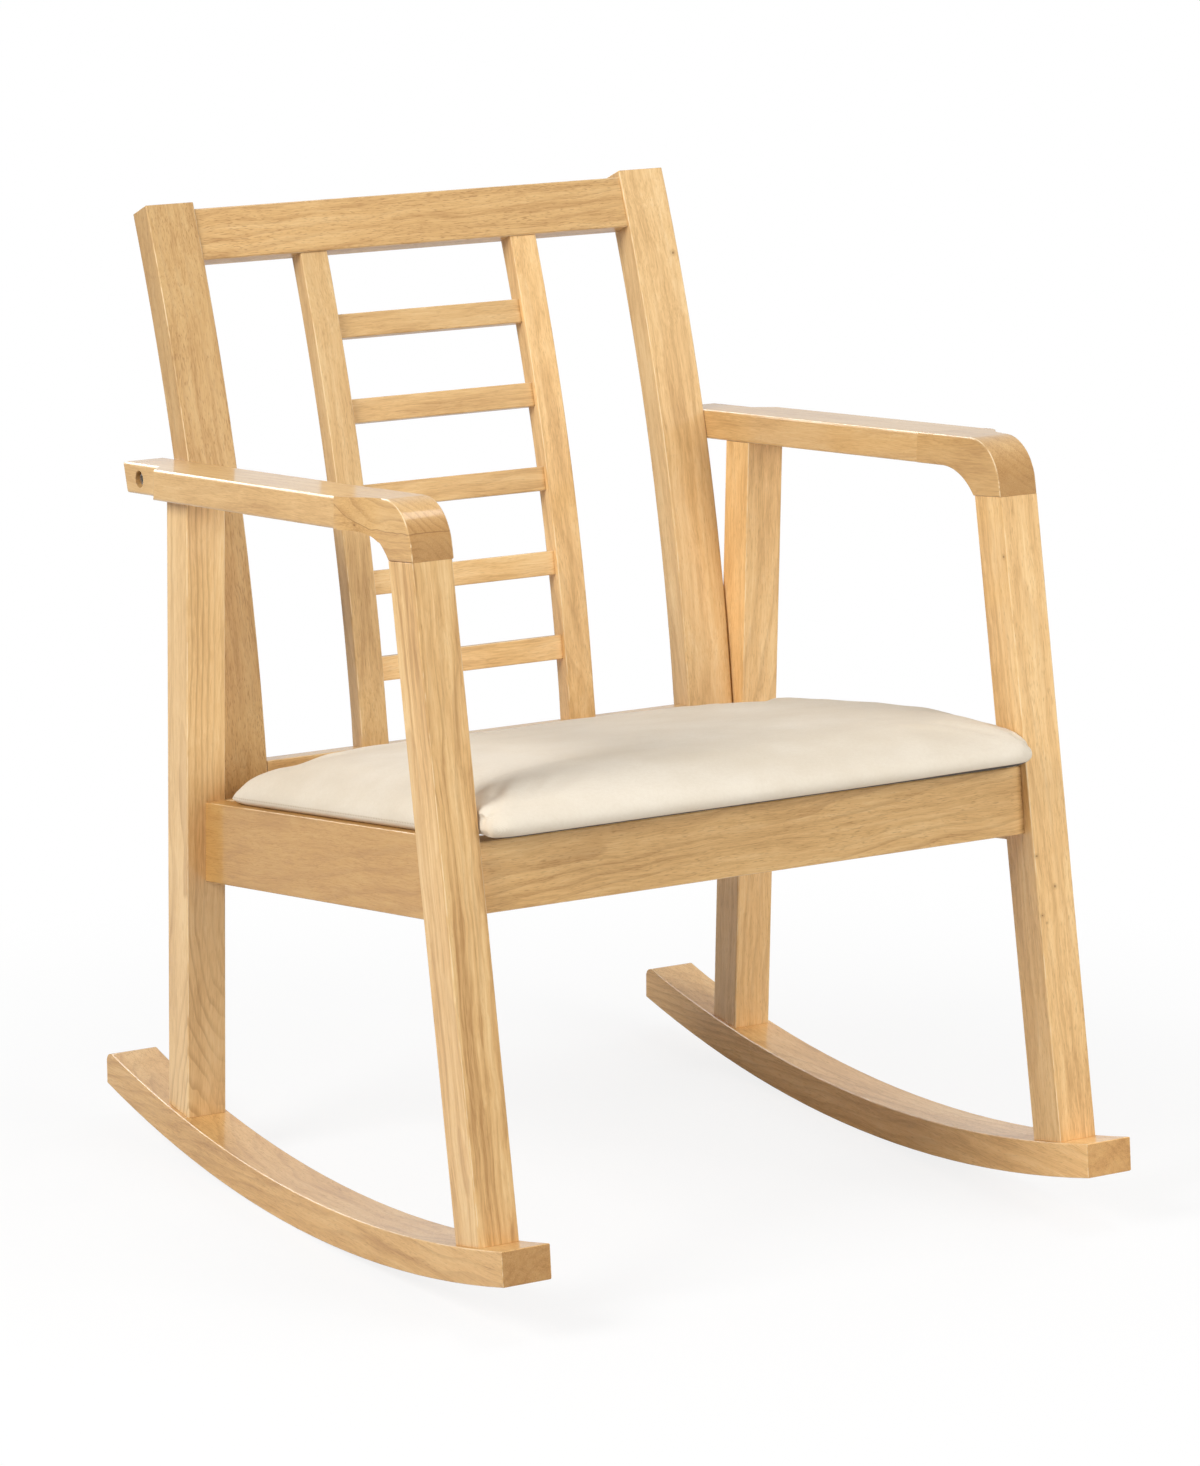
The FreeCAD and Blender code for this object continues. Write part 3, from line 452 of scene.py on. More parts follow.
def outer_edges_group():
    """Geometry node group that weighs the edges to be rounded.

    Edges under a least length, as those of bores, stay sharp. Edges along the axis are rounded in full, and so
    are, on a curved block, those between its sides and its curved faces. The others get the share of the ends.
    """
    tree = bpy.data.node_groups.new("outer_edges", "GeometryNodeTree")
    for label, kind in (("Geometry", "Geometry"), ("Axis", "Vector"), ("Ends", "Float"), ("Curved", "Float"),
                        ("Least", "Float")):
        tree.interface.new_socket(label, in_out="INPUT", socket_type="NodeSocket" + kind)
    tree.interface.new_socket("Geometry", in_out="OUTPUT", socket_type="NodeSocketGeometry")
    graph = Graph(tree)
    source = graph.add("NodeGroupInput").outputs
    target = graph.add("NodeGroupOutput")
    ends = graph.add("GeometryNodeInputMeshEdgeVertices").outputs
    run = graph.vector("SUBTRACT", ends["Position 1"], ends["Position 2"])
    length = graph.length(run)
    turn = graph.add("GeometryNodeInputMeshEdgeAngle").outputs["Unsigned Angle"]
    along = graph.math("DIVIDE", graph.math("ABSOLUTE", graph.dot(run, source["Axis"])), length)
    square = graph.math("LESS_THAN", graph.math("ABSOLUTE", graph.minus(turn, square_turn)), square_leeway)
    curved = graph.times(square, graph.math("LESS_THAN", along, across_share))
    straight = graph.math("GREATER_THAN", along, along_share)
    share = graph.plus(graph.times(straight, graph.minus(1.0, source["Curved"])),
                       graph.times(curved, source["Curved"]))
    share = graph.math("MAXIMUM", share, source["Ends"])
    sharp = graph.times(graph.math("GREATER_THAN", turn, sharp_turn),
                        graph.math("GREATER_THAN", length, source["Least"]))
    store = graph.add("GeometryNodeStoreNamedAttribute", {
        "Geometry": source["Geometry"], "Name": "bevel_weight_edge", "Value": graph.times(share, sharp)},
        data_type="FLOAT", domain="EDGE")
    graph.put(target.inputs[0], store.outputs[0])
    return tree


def soften_edges(piece, width, axis, ends, curved, least):
    """Rounds the outer edges of a CAD node by modifiers, and leaves its mesh alone."""
    weld = piece.modifiers.new("weld", "WELD")
    weld.merge_threshold = weld_gap
    if least < mortise_length:
        flatten = piece.modifiers.new("flatten", "DECIMATE")
        flatten.decimate_type = "DISSOLVE"
        flatten.angle_limit = flat_turn
    weigh = piece.modifiers.new("weigh", "NODES")
    weigh.node_group = outer_edges
    sockets = outer_edges.interface.items_tree
    inputs = {item.name: item.identifier for item in sockets if item.in_out == "INPUT"}
    weigh[inputs["Axis"]] = tuple(axis)
    weigh[inputs["Ends"]] = ends
    weigh[inputs["Curved"]] = float(curved)
    weigh[inputs["Least"]] = least
    bevel = piece.modifiers.new("bevel", "BEVEL")
    bevel.width = width
    bevel.segments = bevel_segments
    bevel.limit_method = "WEIGHT"
    bevel.use_clamp_overlap = False
    bevel.loop_slide = False
    smooth = piece.modifiers.new("smooth", "NODES")
    smooth.node_group = smooth_group
    weighted = piece.modifiers.new("weighted", "WEIGHTED_NORMAL")
    weighted.weight = face_weight
    weighted.keep_sharp = True


def smooth_shading_group():
    """Geometry node group that shades all faces smooth and keeps edges over 40 degrees sharp."""
    tree = bpy.data.node_groups.new("smooth_by_angle", "GeometryNodeTree")
    tree.interface.new_socket("Geometry", in_out="INPUT", socket_type="NodeSocketGeometry")
    tree.interface.new_socket("Geometry", in_out="OUTPUT", socket_type="NodeSocketGeometry")
    graph = Graph(tree)
    source = graph.add("NodeGroupInput")
    target = graph.add("NodeGroupOutput")
    turn = graph.add("GeometryNodeInputMeshEdgeAngle").outputs["Unsigned Angle"]
    gentle = graph.add("FunctionNodeCompare", {0: turn, 1: soft_turn}, data_type="FLOAT", operation="LESS_THAN")
    faces = graph.add("GeometryNodeSetShadeSmooth", {"Geometry": source.outputs[0]}, domain="FACE")
    edges = graph.add("GeometryNodeSetShadeSmooth", {"Geometry": faces.outputs[0],
                                                     "Shade Smooth": gentle.outputs[0]}, domain="EDGE")
    graph.put(target.inputs[0], edges.outputs[0])
    return tree


smooth_group = smooth_shading_group()
outer_edges = outer_edges_group()

# what pieces of one kind share: the grain's axis, the side face and, for some, the figure of their wood
side_face = along_x
back_face = Vector((0, math.cos(back_lean), -math.sin(back_lean)))
seat_face = Vector((0, math.cos(seat_rise), -math.sin(seat_rise)))
lean_leg = {"axis": upward(front_leg_lean), "face": side_face}
rear_leg = {"axis": upward(rear_leg_lean), "face": side_face}
back_bar = {"axis": upward(back_lean), "face": side_face, "figure": 0.2}
arm_bar = {"axis": forward(arm_rise), "face": side_face, "fleck": 0.3, "streak": 0.3}
rocker_bar = {"axis": Vector((0, 1, 0)), "face": side_face, "rings": 130, "figure": 0.3, "fleck": 0.6}
side_bar = {"axis": forward(seat_rise), "face": side_face}
seat_bar = {"axis": along_x, "face": seat_face}
back_rail = {"axis": along_x, "face": back_face}
brace_block = {"axis": along_x, "face": Vector((0, 0, 1)), "figure": 0.2}

# how each wooden piece looks, and how wide its edges are rounded, in millimetres
wood_pieces = {
    "left_front_leg": (1.4, dict(lean_leg, streak=1.5, figure=0.25, fleck=0.3, pith=(0.06, 0.03, 0.1))),
    "right_front_leg": (1.4, dict(lean_leg, streak=0.8, figure=0.2, fleck=0.6, pith=(-0.06, 0.03, 0.0))),
    "left_rear_leg": (1.4, dict(rear_leg, rings=170, figure=0.5, streak=0.3, fleck=0.2,
                                pith=(0.024, -0.010, -0.105), taper=(-0.30, 0.0, 0.0))),
    "right_rear_leg": (1.4, dict(rear_leg, figure=0.25, fleck=0.5, pith=(0.07, 0.05, 0.0))),
    "left_back_post": (1.5, dict(back_bar, fleck=0.8, pith=(0.08, -0.04, 0.0))),
    "right_back_post": (1.5, dict(back_bar, fleck=0.4, pith=(-0.08, -0.04, 0.0))),
    "left_back_stile": (1.3, dict(back_bar, fleck=0.5, pith=(0.05, 0.06, 0.0))),
    "right_back_stile": (1.3, dict(back_bar, fleck=0.5, pith=(-0.05, 0.06, 0.0))),
    "left_arm_rail": (2.8, dict(arm_bar, figure=0.2, pith=(0.05, 0.05, 0.0))),
    "right_arm_rail": (2.8, dict(arm_bar, figure=0.2, pith=(0.05, 0.04, 0.0))),
    "left_arm_corner": (1.8, dict(arm_bar, rings=150, figure=0.35, pith=(0.07, 0.06, 0.0),
                                  taper=(0.02, -0.02, 0.0), glue=(-0.02, -0.055, 0.0))),
    "right_arm_corner": (1.8, dict(arm_bar, rings=150, figure=0.2, pith=(0.06, 0.07, 0.0),
                                   taper=(0.02, -0.02, 0.0))),
    "left_rocker": (1.5, dict(rocker_bar, pith=(0.04, 0.06, 0.0))),
    "right_rocker": (1.5, dict(rocker_bar, pith=(-0.05, 0.06, 0.0))),
    "left_side_rail": (1.5, dict(side_bar, figure=0.2, fleck=0.35, streak=0.3, pith=(0.06, 0.03, 0.0))),
    "right_side_rail": (1.5, dict(side_bar, figure=0.2, fleck=0.7, pith=(-0.06, 0.03, 0.0))),
    "front_seat_rail": (1.5, dict(seat_bar, rings=120, figure=0.4, fleck=0.7, pith=(0.012, 0.03, -0.08),
                                  taper=(0.14, -0.10, 0.0))),
    "rear_seat_rail": (1.5, dict(seat_bar, figure=0.2, fleck=0.6)),
    "back_top_rail": (1.8, dict(back_rail, rings=110, figure=0.25, fleck=0.9, pith=(0.03, 0.06, 0.0))),
    "back_lower_rail": (1.5, dict(back_rail, figure=0.25, fleck=0.7, pith=(0.03, 0.06, 0.0))),
    **{"back_slat_" + str(number): (1.2, dict(back_rail, figure=0.15, fleck=0.4)) for number in range(1, 6)},
    "front_braces": (1.0, brace_block),
    "rear_braces": (1.0, brace_block),
}

# edges up to these lengths stay sharp: those round bores, and on the stiles those of the slats' mortises
bore_step = 0.0015
mortise_length = 0.0230

# share of the rounding that the ends of a piece get, and of those that are out in the open
end_share = 0.30
open_ends = {"left_rocker": 0.8, "right_rocker": 0.8, "left_back_post": 0.6, "right_back_post": 0.6}

# depth and warmth of each board's colour: partly the board's own tone, partly painted light that lifts boards the
# lamps leave in shade, such as the right rocker and the lower slats
wood_tones_and_painted_light = {
    "left_rear_leg": (1.15, 1.15),
    "right_rear_leg": (1.25, 1.05),
    "right_front_leg": (1.20, 1.05),
    "left_front_leg": (1.05, 0.95),
    # painted light: lifted against the shade that the seat casts on it
    "right_rocker": (1.30, 0.95),
    "left_rocker": (1.00, 0.85),
    "left_side_rail": (0.80, 0.65),
    "left_back_stile": (0.95, 1.05),
    "left_back_post": (0.85, 0.95),
    "right_back_post": (1.15, 1.15),
    "right_back_stile": (1.20, 1.05),
    "front_seat_rail": (1.05, 0.95),
    "left_arm_corner": (0.95, 0.90),
    "right_arm_corner": (0.95, 0.95),
    "back_top_rail": (0.95, 0.95),
    "back_slat_1": (0.95, 1.00),
    # painted light: the lower slats are lifted against the shade near the seat
    "back_slat_4": (1.20, 1.10),
    "back_slat_5": (1.30, 1.10),
}


def dress_wood():
    """Gives each wooden piece its own grain and its rounded edges."""
    for number, (name, (width, look)) in enumerate(wood_pieces.items()):
        shade, warmth = wood_tones_and_painted_light.get(name, (1.0, 1.0))
        repaint(name, wood(name, seed=number + 1.0, shade=shade, warmth=warmth, **look))
        curved = name.endswith("arm_corner")
        least = mortise_length if name.endswith("stile") else bore_step
        ends = open_ends.get(name, 0.0 if curved else end_share)
        soften_edges(nodes[name], width / 1000, along_x if curved else look["axis"], ends, curved, least)


# colours of the other pieces
beech_dark = paint(205, 170, 125)
beech_pale = paint(228, 198, 155)
ply_pale = paint(205, 170, 122)
ply_dark = paint(172, 132, 88)
ply_face = paint(215, 184, 140)
ply_fibre = (0.82, 0.78, 0.72, 1)
cloth_dark = paint(226, 214, 194)
cloth_pale = paint(238, 229, 213)
cloth_gap = paint(206, 190, 164)
cloth_hem = paint(176, 152, 120)
# painted shadow: dark band under the cushion's front lip, in place of the shaded gap above the rail
lip_shadow_colour = paint(26, 15, 7)

# noises of the other materials, how often in a metre
beech_scale = (300, 300, 300)
steel_mark_scale = (900, 900, 900)
steel_cloud_scale = (120, 120, 120)
ply_fibre_scale = (9, 240, 240)
cloth_cloud_scale = (9, 9, 9)
slub_scale = (320, 320, 320)
floor_cloud_scale = (3, 3, 3)

# thickness of one ply, in metres
ply_thickness = 0.0015


def dowel_material():
    """Beech of the dowels, paler than the frame."""
    material, graph, shader = new_material("dowel_beech")
    place = graph.place()
    fibre = graph.noise(place, beech_scale, 3.0, 0.6)
    graph.fill(shader, {"Base Color": graph.mix(graph.span(fibre, 0.3, 0.7), beech_dark, beech_pale),
                        "Roughness": graph.span(fibre, 0.0, 1.0, 0.5, 0.75)})
    return material


def steel_material(name, low, high):
    """Plated steel with fine turning marks."""
    material, graph, shader = new_material(name)
    place = graph.place()
    marks = graph.noise(place, steel_mark_scale, 3.0, 0.6)
    cloud = graph.noise(place, steel_cloud_scale)
    graph.fill(shader, {"Base Color": graph.mix(graph.span(cloud, 0.3, 0.7), low, high),
                        "Roughness": graph.span(marks, 0.2, 0.8, 0.22, 0.42), "Metallic": 1.0})
    return material


def plywood_material():
    """Plywood board with faint grain on its faces and plies at its edges."""
    material, graph, shader = new_material("plywood_board")
    place = graph.add("ShaderNodeTexCoord").outputs
    up = tuple(forward(seat_rise).cross(along_x))
    depth = graph.dot(place["Object"], up)
    ply = graph.math("PINGPONG", graph.times(depth, 1 / ply_thickness), 1.0)
    fibre = graph.noise(place["Object"], ply_fibre_scale, 3.0, 0.6)
    face = graph.math("ABSOLUTE", graph.dot(place["Normal"], up))
    tint = graph.mix(graph.span(ply, 0.4, 0.6), ply_pale, ply_dark)
    tint = graph.mix(graph.span(face, 0.5, 0.8), tint, ply_face)
    colour = graph.mix(graph.span(fibre, 0.3, 0.75), tint, graph.mix(1.0, tint, ply_fibre, "MULTIPLY"))
    graph.fill(shader, {"Base Color": colour, "Roughness": graph.span(fibre, 0.0, 1.0, 0.6, 0.8)})
    return material


def repaint(endings, material):
    """Puts one material on the CAD nodes whose names end so."""
    for name in nodes:
        if name.endswith(endings):
            nodes[name].material_slots[0].link = "OBJECT"
            nodes[name].material_slots[0].material = material


# hem of the cushion and the painted shadow under its front lip, in metres: heights over the plane of the rail
# tops, widths and lengths
hem_height = 0.0065
hem_half = 0.0009
hem_core = 0.0003
hem_fade = 0.01
stitch_length = 0.0045
lip_shadow_top = -0.0006
lip_shadow_gain = 0.0016
lip_shadow_growth = (0.08, 0.25)
lip_shadow_blend = 0.0003
# a stitch shows between these values of its wave, by these shares; then how dark the hem is, and how deep
stitch_range = (-0.5, 0.3, 0.4, 1.0)
hem_weight = 0.4
hem_groove = 4.0

# the weave: length of a thread's wave in metres, and how much the slubs and the gaps between threads show
thread_length = 0.0011
slub_weight = 1.6
gap_range = (0.0, 1.8, 0.0, 0.35)
cloth_relief = 0.25
cloth_sheen = 0.12


def fabric_material():
    """Cream woven cloth: warp and weft threads with slubs, soft sheen and slight soiling, hem, and a painted
    shadow under the front lip.
    """
    material, graph, shader = new_material("cream_cloth")
    place = graph.place()
    side = graph.parts(place)
    cloud = graph.noise(place, cloth_cloud_scale, 3.0, 0.55)
    colour = graph.mix(graph.span(cloud, 0.3, 0.7), cloth_dark, cloth_pale)
    thread = 2 * math.pi / thread_length
    slub = graph.noise(place, slub_scale, 2.0, 0.6)
    warp = graph.math("SINE", graph.times(side[0], thread))
    weft = graph.math("SINE", graph.times(side[1], thread))
    weave = graph.plus(graph.times(warp, weft), graph.times(slub, slub_weight))
    colour = graph.mix(graph.span(weave, *gap_range), colour, cloth_gap)
    above = graph.minus(graph.dot(place, tuple(seat_up)), seat_plane_height)
    ahead = graph.dot(place, tuple(seat_forward))
    # the hem runs round the sides and the back, in stitches
    hem = graph.span(graph.math("ABSOLUTE", graph.minus(above, hem_height)), hem_core, hem_half, 1.0, 0.0)
    hem = graph.times(hem, graph.span(ahead, cushion_shoulder - hem_fade, cushion_shoulder, 1.0, 0.0))
    run = graph.times(graph.minus(ahead, side[0]), 2 * math.pi / stitch_length)
    hem = graph.times(hem, graph.span(graph.math("SINE", run), *stitch_range))
    colour = graph.mix(graph.times(hem, hem_weight), colour, cloth_hem)
    # painted shadow: a thin dark line under the front lip, in place of the shaded gap above the rail, a little
    # broader at its right end
    lip_shadow_edge = graph.span(side[0], *lip_shadow_growth, lip_shadow_top, lip_shadow_top + lip_shadow_gain)
    lip_shadow = graph.span(graph.minus(above, lip_shadow_edge), -lip_shadow_blend, lip_shadow_blend, 1.0, 0.0)
    colour = graph.mix(lip_shadow, colour, lip_shadow_colour)
    relief = graph.minus(weave, graph.times(hem, hem_groove))
    graph.fill(shader, {"Base Color": colour, "Roughness": graph.span(slub, 0.0, 1.0, 0.78, 0.92),
                        "Normal": graph.bump(relief, cloth_relief), "Sheen Weight": cloth_sheen,
                        "Sheen Roughness": 0.5})
    return material


# seat cushion, measured along and square to the plane of the rail tops, in metres
seat_plane_height = 0.3493
cushion_half = 0.2810
cushion_front_half = 0.2622
cushion_back = -0.1347
cushion_shoulder = 0.2583
cushion_front = 0.3333
# rows from the underside up: height, and how far the outline is drawn in at the back, sides and front
cushion_rows = ((0.0004, 0.004, 0.002, 0.010), (0.0035, 0.0, 0.0, 0.003), (0.0085, 0.003, 0.001, 0.0),
                (0.0160, 0.007, 0.004, 0.005), (0.0240, 0.011, 0.008, 0.015), (0.0305, 0.021, 0.016, 0.034),
                (0.0350, 0.052, 0.030, 0.066), (0.0380, 0.092, 0.058, 0.112), (0.0400, 0.150, 0.110, 0.180))
# radius of the left back corner in each row, and how much larger the right one is
cushion_corner_rows = (0.034, 0.040, 0.050, 0.058, 0.062, 0.070, 0.110, 0.110, 0.070)
cushion_right_radius = 1.6
# radii of the front corners in the widest row, and how much of the front's inset they gain
front_right_radius = (0.027, 0.8)
front_left_radius = (0.021, 0.7)
# the right side stands fuller: its share of the sides' inset
cushion_right_share = 0.55
# the shoulders behind the legs follow the sides' inset by this share, and stay this far behind the front
shoulder_share = 1.2
shoulder_gap = 0.030
# the notch round a leg: the height where it fades out, the share of it that stays, and how round its corners are
notch_top = 0.034
notch_least = 0.12
notch_radius = 0.008
notch_radius_share = 0.45
notch_radius_least = 0.0005
# points of an arc, points along each edge of the outline, and levels from one row to the next
arc_points = 9
edge_points = (60, 46, 3, 8, 56, 8, 3, 46)
row_levels = 4
seat_forward = forward(seat_rise)
seat_up = along_x.cross(seat_forward) * -1


def seat_point(x, along, height):
    """Point at a place along the seat plane and a height above it."""
    return Vector((x, 0, 0)) + seat_forward * along + seat_up * (seat_plane_height + height)


def rounded_corner(before, here, after, radius):
    """Points round one corner of an outline."""
    arrive = (before - here).normalized()
    leave = (after - here).normalized()
    start = here + arrive * radius
    finish = here + leave * radius
    shares = [step / (arc_points - 1) for step in range(arc_points)]
    return [(1 - share) ** 2 * start + 2 * share * (1 - share) * here + share ** 2 * finish for share in shares]


def cushion_loop(back_inset, side_inset, front_inset, back_radius, notch):
    """Outline of the cushion at one height, notched round the front legs."""
    wide = cushion_half - side_inset
    right = cushion_half - side_inset * cushion_right_share
    step = (cushion_half - cushion_front_half) * notch
    narrow = wide - step
    back = cushion_back + back_inset
    front = cushion_front - front_inset
    shoulder = min(cushion_shoulder - side_inset * shoulder_share, front - shoulder_gap)
    corners = [Vector(pair) for pair in ((-wide, back), (right, back), (right, shoulder), (right - step, shoulder),
                                         (right - step, front), (-narrow, front), (-narrow, shoulder),
                                         (-wide, shoulder))]
    small = min(notch_radius, step * notch_radius_share + notch_radius_least)
    front_right, front_left = [least + gain * front_inset
                               for least, gain in (front_right_radius, front_left_radius)]
    radii = (back_radius, back_radius * cushion_right_radius, small, small, front_right, front_left, small, small)
    arcs = [rounded_corner(corners[k - 1], corners[k], corners[(k + 1) % len(corners)], radii[k])
            for k in range(len(corners))]
    points = []
    for k, count in enumerate(edge_points):
        points += arcs[k]
        here, ahead = arcs[k][-1], arcs[(k + 1) % len(arcs)][0]
        points += [here.lerp(ahead, step / count) for step in range(1, count)]
    return points


# above this height the pad is drawn in from above as well as from the sides
pad_middle = 0.02


def lofted_pad(shrink):
    """Closed mesh through the cushion's rows, drawn in all round by a small amount, with its heights as z."""
    shape = bmesh.new()
    loops = []
    rows = len(cushion_rows)
    for number in range(row_levels * (rows - 1) + 1):
        place = number / row_levels
        low = min(int(place), rows - 2)
        share = place - low
        height, back, side, front = [a + (b - a) * share for a, b in zip(cushion_rows[low], cushion_rows[low + 1])]
        radius = cushion_corner_rows[low] + (cushion_corner_rows[low + 1] - cushion_corner_rows[low]) * share
        notch = max(notch_least, 1 - height / notch_top)
        outline = cushion_loop(back + shrink, side + shrink, front + shrink, radius, notch)
        drop = shrink if height > pad_middle else 0.0
        loops.append([shape.verts.new((point.x, point.y, height - drop)) for point in outline])
    for lower, upper in zip(loops, loops[1:]):
        for k in range(len(lower)):
            shape.faces.new((lower[k - 1], lower[k], upper[k], upper[k - 1]))
    shape.faces.new(loops[-1])
    shape.faces.new(list(reversed(loops[0])))
    bmesh.ops.recalc_face_normals(shape, faces=shape.faces)
    mesh = bpy.data.meshes.new("seat_cushion")
    shape.to_mesh(mesh)
    shape.free()
    return mesh


def apply_modifiers(piece):
    """Puts the result of a piece's modifiers into its mesh."""
    evaluated = piece.evaluated_get(bpy.context.evaluated_depsgraph_get())
    mesh = bpy.data.meshes.new_from_object(evaluated)
    piece.modifiers.clear()
    piece.data = mesh


def seat_place(point):
    """Across, along and height of a point, measured on the seat plane."""
    return point.x, point.dot(seat_forward), point.dot(seat_up) - seat_plane_height


def edge_distance(across, along):
    """How far inside the cushion's outline a place on the seat plane lies."""
    return min(cushion_half - abs(across), along - cushion_back, cushion_front - along)


def smooth_step(value, low, high):
    """Smooth rise from 0 at low to 1 at high."""
    share = min(1.0, max(0.0, (value - low) / (high - low)))
    return share * share * (3 - 2 * share)


# the cushion's swelling: its pressure, its limit, the heights it grows between and under which it is held, in
# metres, and its frames
swell_pressure = 4.0
swell_limit = 0.005
swell_rise = (0.008, 0.040)
held_height = 0.004
swell_frames = 20


def inflate(piece):
    """Swells a pad with cloth under pressure: its top moves up to a limit, its sides keep their place."""
    rest = [vertex.co.copy() for vertex in piece.data.vertices]
    group = piece.vertex_groups.new(name="held")
    group.add([k for k, point in enumerate(rest) if seat_place(point)[2] < held_height], 1.0, "REPLACE")
    cloth = piece.modifiers.new("cloth", "CLOTH")
    for setting, value in (("quality", 5), ("mass", 0.3), ("tension_stiffness", 12),
                           ("compression_stiffness", 12), ("bending_stiffness", 0.6), ("use_pressure", True),
                           ("uniform_pressure_force", swell_pressure), ("vertex_group_mass", "held")):
        setattr(cloth.settings, setting, value)
    cloth.settings.effector_weights.gravity = 0
    cloth.collision_settings.use_collision = False
    cloth.point_cache.frame_start = 1
    cloth.point_cache.frame_end = swell_frames
    for step in range(1, swell_frames + 1):
        bpy.context.scene.frame_set(step)
    evaluated = piece.evaluated_get(bpy.context.evaluated_depsgraph_get())
    swollen = [vertex.co.copy() for vertex in evaluated.data.vertices]
    piece.modifiers.clear()
    bpy.context.scene.frame_set(1)
    for vertex, before, after in zip(piece.data.vertices, rest, swollen):
        move = after - before
        if move.length > swell_limit:
            move *= swell_limit / move.length
        vertex.co = before + move * smooth_step(seat_place(before)[2], *swell_rise)


# the fabric dips along a line from each front leg towards the middle: across, along
crease_line = [Vector(pair) for pair in ((-0.262, 0.262), (-0.240, 0.258), (-0.205, 0.232), (-0.165, 0.216),
                                         (-0.120, 0.209), (-0.070, 0.209), (-0.010, 0.219), (0.060, 0.234))]
# depth of the dip at the left and the right leg, its width ahead of the line and behind it, and where it fades
left_crease = 0.0027
right_crease = 0.0007
crease_ahead = 0.013
crease_behind = 0.030
crease_fade = (-0.20, 0.05)


def crease_depth(across, along):
    """Depth of the dip at a place on the cushion's top, both sides alike but the right one shallower."""
    deepest = 0.0
    for mirror, strength in ((1, left_crease), (-1, right_crease)):
        here = Vector((across * mirror, along))
        for start, finish in zip(crease_line, crease_line[1:]):
            edge = finish - start
            share = min(1.0, max(0.0, (here - start).dot(edge) / edge.length_squared))
            nearest = start + edge * share
            gap = (here - nearest).length
            width = crease_ahead if here.y > nearest.y else crease_behind
            fade = 1 - smooth_step(nearest.x, *crease_fade)
            deepest = max(deepest, strength * fade * math.exp(-(gap / width) ** 2))
    return deepest


# gap that the cushion keeps to the board, and how near a point has to be to be moved, in metres
board_gap = 0.0016
board_reach = 0.02
# below this height only the points in a strip along the outline are moved, and the strip's width
hem_top = 0.006
hem_width = 0.030


def clear_of_board(point, board):
    """Moves a point of the cushion out of the board under it."""
    across, along, height = seat_place(point)
    if edge_distance(across, along) > hem_width and height < hem_top:
        return point
    place, normal, index, gap = board.find_nearest(point)
    if gap < board_reach and (point - place).dot(normal) < board_gap:
        return place + normal * board_gap
    return point


# heights between which the top begins, in metres
top_rise = (0.010, 0.030)
# ripples of the top: how often in a metre across and along, a layer of the noise, and how high
ripples = ((14, 18, 3.0, 0.0009), (40, 46, 9.0, 0.0004))
# the front lip sinks: where along the seat it starts, between which heights it ends, and by how much
lip_start = (0.296, 0.312)
lip_end = (0.006, 0.030)
lip_drop = 0.0030
# the underside is hollowed inside the hem: its height, where the hollow starts, and its depth
underside_top = 0.003
hollow_start = (0.034, 0.040)
hollow_depth = 0.004
# behind this place the cushion rests on the rails, with a thin gap
rest_end = 0.298
rest_gap = 0.0003
# how far it may stand out at the sides and the back, and where the sides end before the shoulders
side_leeway = 0.0005
back_leeway = 0.003
side_end = 0.006


def shape_pad(piece):
    """Creases, sags and settles the inflated cushion, and keeps it clear of the frame."""
    board = BVHTree.FromObject(nodes["seat_board"], bpy.context.evaluated_depsgraph_get())
    for vertex in piece.data.vertices:
        across, along, height = seat_place(vertex.co)
        top = smooth_step(height, *top_rise)
        height -= top * crease_depth(across, along)
        height += top * sum(noise.noise(Vector((across * often_across, along * often_along, layer))) * size
                            for often_across, often_along, layer, size in ripples)
        height -= lip_drop * (smooth_step(along, *lip_start) * (1 - smooth_step(height, *lip_end)))
        under = 1 - smooth_step(height, 0.0, underside_top)
        height += under * smooth_step(edge_distance(across, along), *hollow_start) * hollow_depth
        if along < rest_end:
            height = max(height, rest_gap)
        reach = cushion_half + side_leeway if along < cushion_shoulder - side_end else cushion_front_half
        across = max(-reach, min(reach, across))
        along = max(along, cushion_back - back_leeway)
        vertex.co = clear_of_board(seat_point(across, along, height), board)


# how far the pad is drawn in before it is remeshed, and the size of the new mesh, in metres
pad_shrink = 0.0008
pad_voxel = 0.005


def cushion():
    """Seat cushion over the board: a crowned pad in the space of its CAD cover and foam."""
    piece = bpy.data.objects.new("seat_cushion", lofted_pad(pad_shrink))
    bpy.context.scene.collection.objects.link(piece)
    even = piece.modifiers.new("even", "REMESH")
    even.mode = "VOXEL"
    even.voxel_size = pad_voxel
    relax = piece.modifiers.new("relax", "SMOOTH")
    relax.factor = 0.5
    relax.iterations = 2
    apply_modifiers(piece)
    for vertex in piece.data.vertices:
        vertex.co = seat_point(*vertex.co)
    # across, along and height make a left-handed set, so the faces are turned back outwards
    piece.data.flip_normals()
    inflate(piece)
    shape_pad(piece)
    finer = piece.modifiers.new("finer", "SUBSURF")
    finer.levels = finer.render_levels = 1
    apply_modifiers(piece)
    piece.data.materials.append(fabric_material())
    for polygon in piece.data.polygons:
        polygon.use_smooth = True
    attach(piece, "root")
    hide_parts("seat_cover", "seat_foam")


# colours of the studio
white = (1, 1, 1, 1)
floor_grey = (0.92, 0.92, 0.92, 1)
floor_pale = (0.94, 0.94, 0.94, 1)
# what the floor throws back on the chair is a little darker and warmer than it looks
floor_bounce = (0.60, 0.57, 0.54, 1)
# the floor glows white, less so near the chair, to keep its shadow: distances in metres, and the glow at both
floor_glow = (0.4, 1.1, 0.84, 1.0)
floor_mirrored = 0.12
# brightness of the world as a light, and its share that the chair mirrors
world_light = 0.23
world_mirrored = 0.8


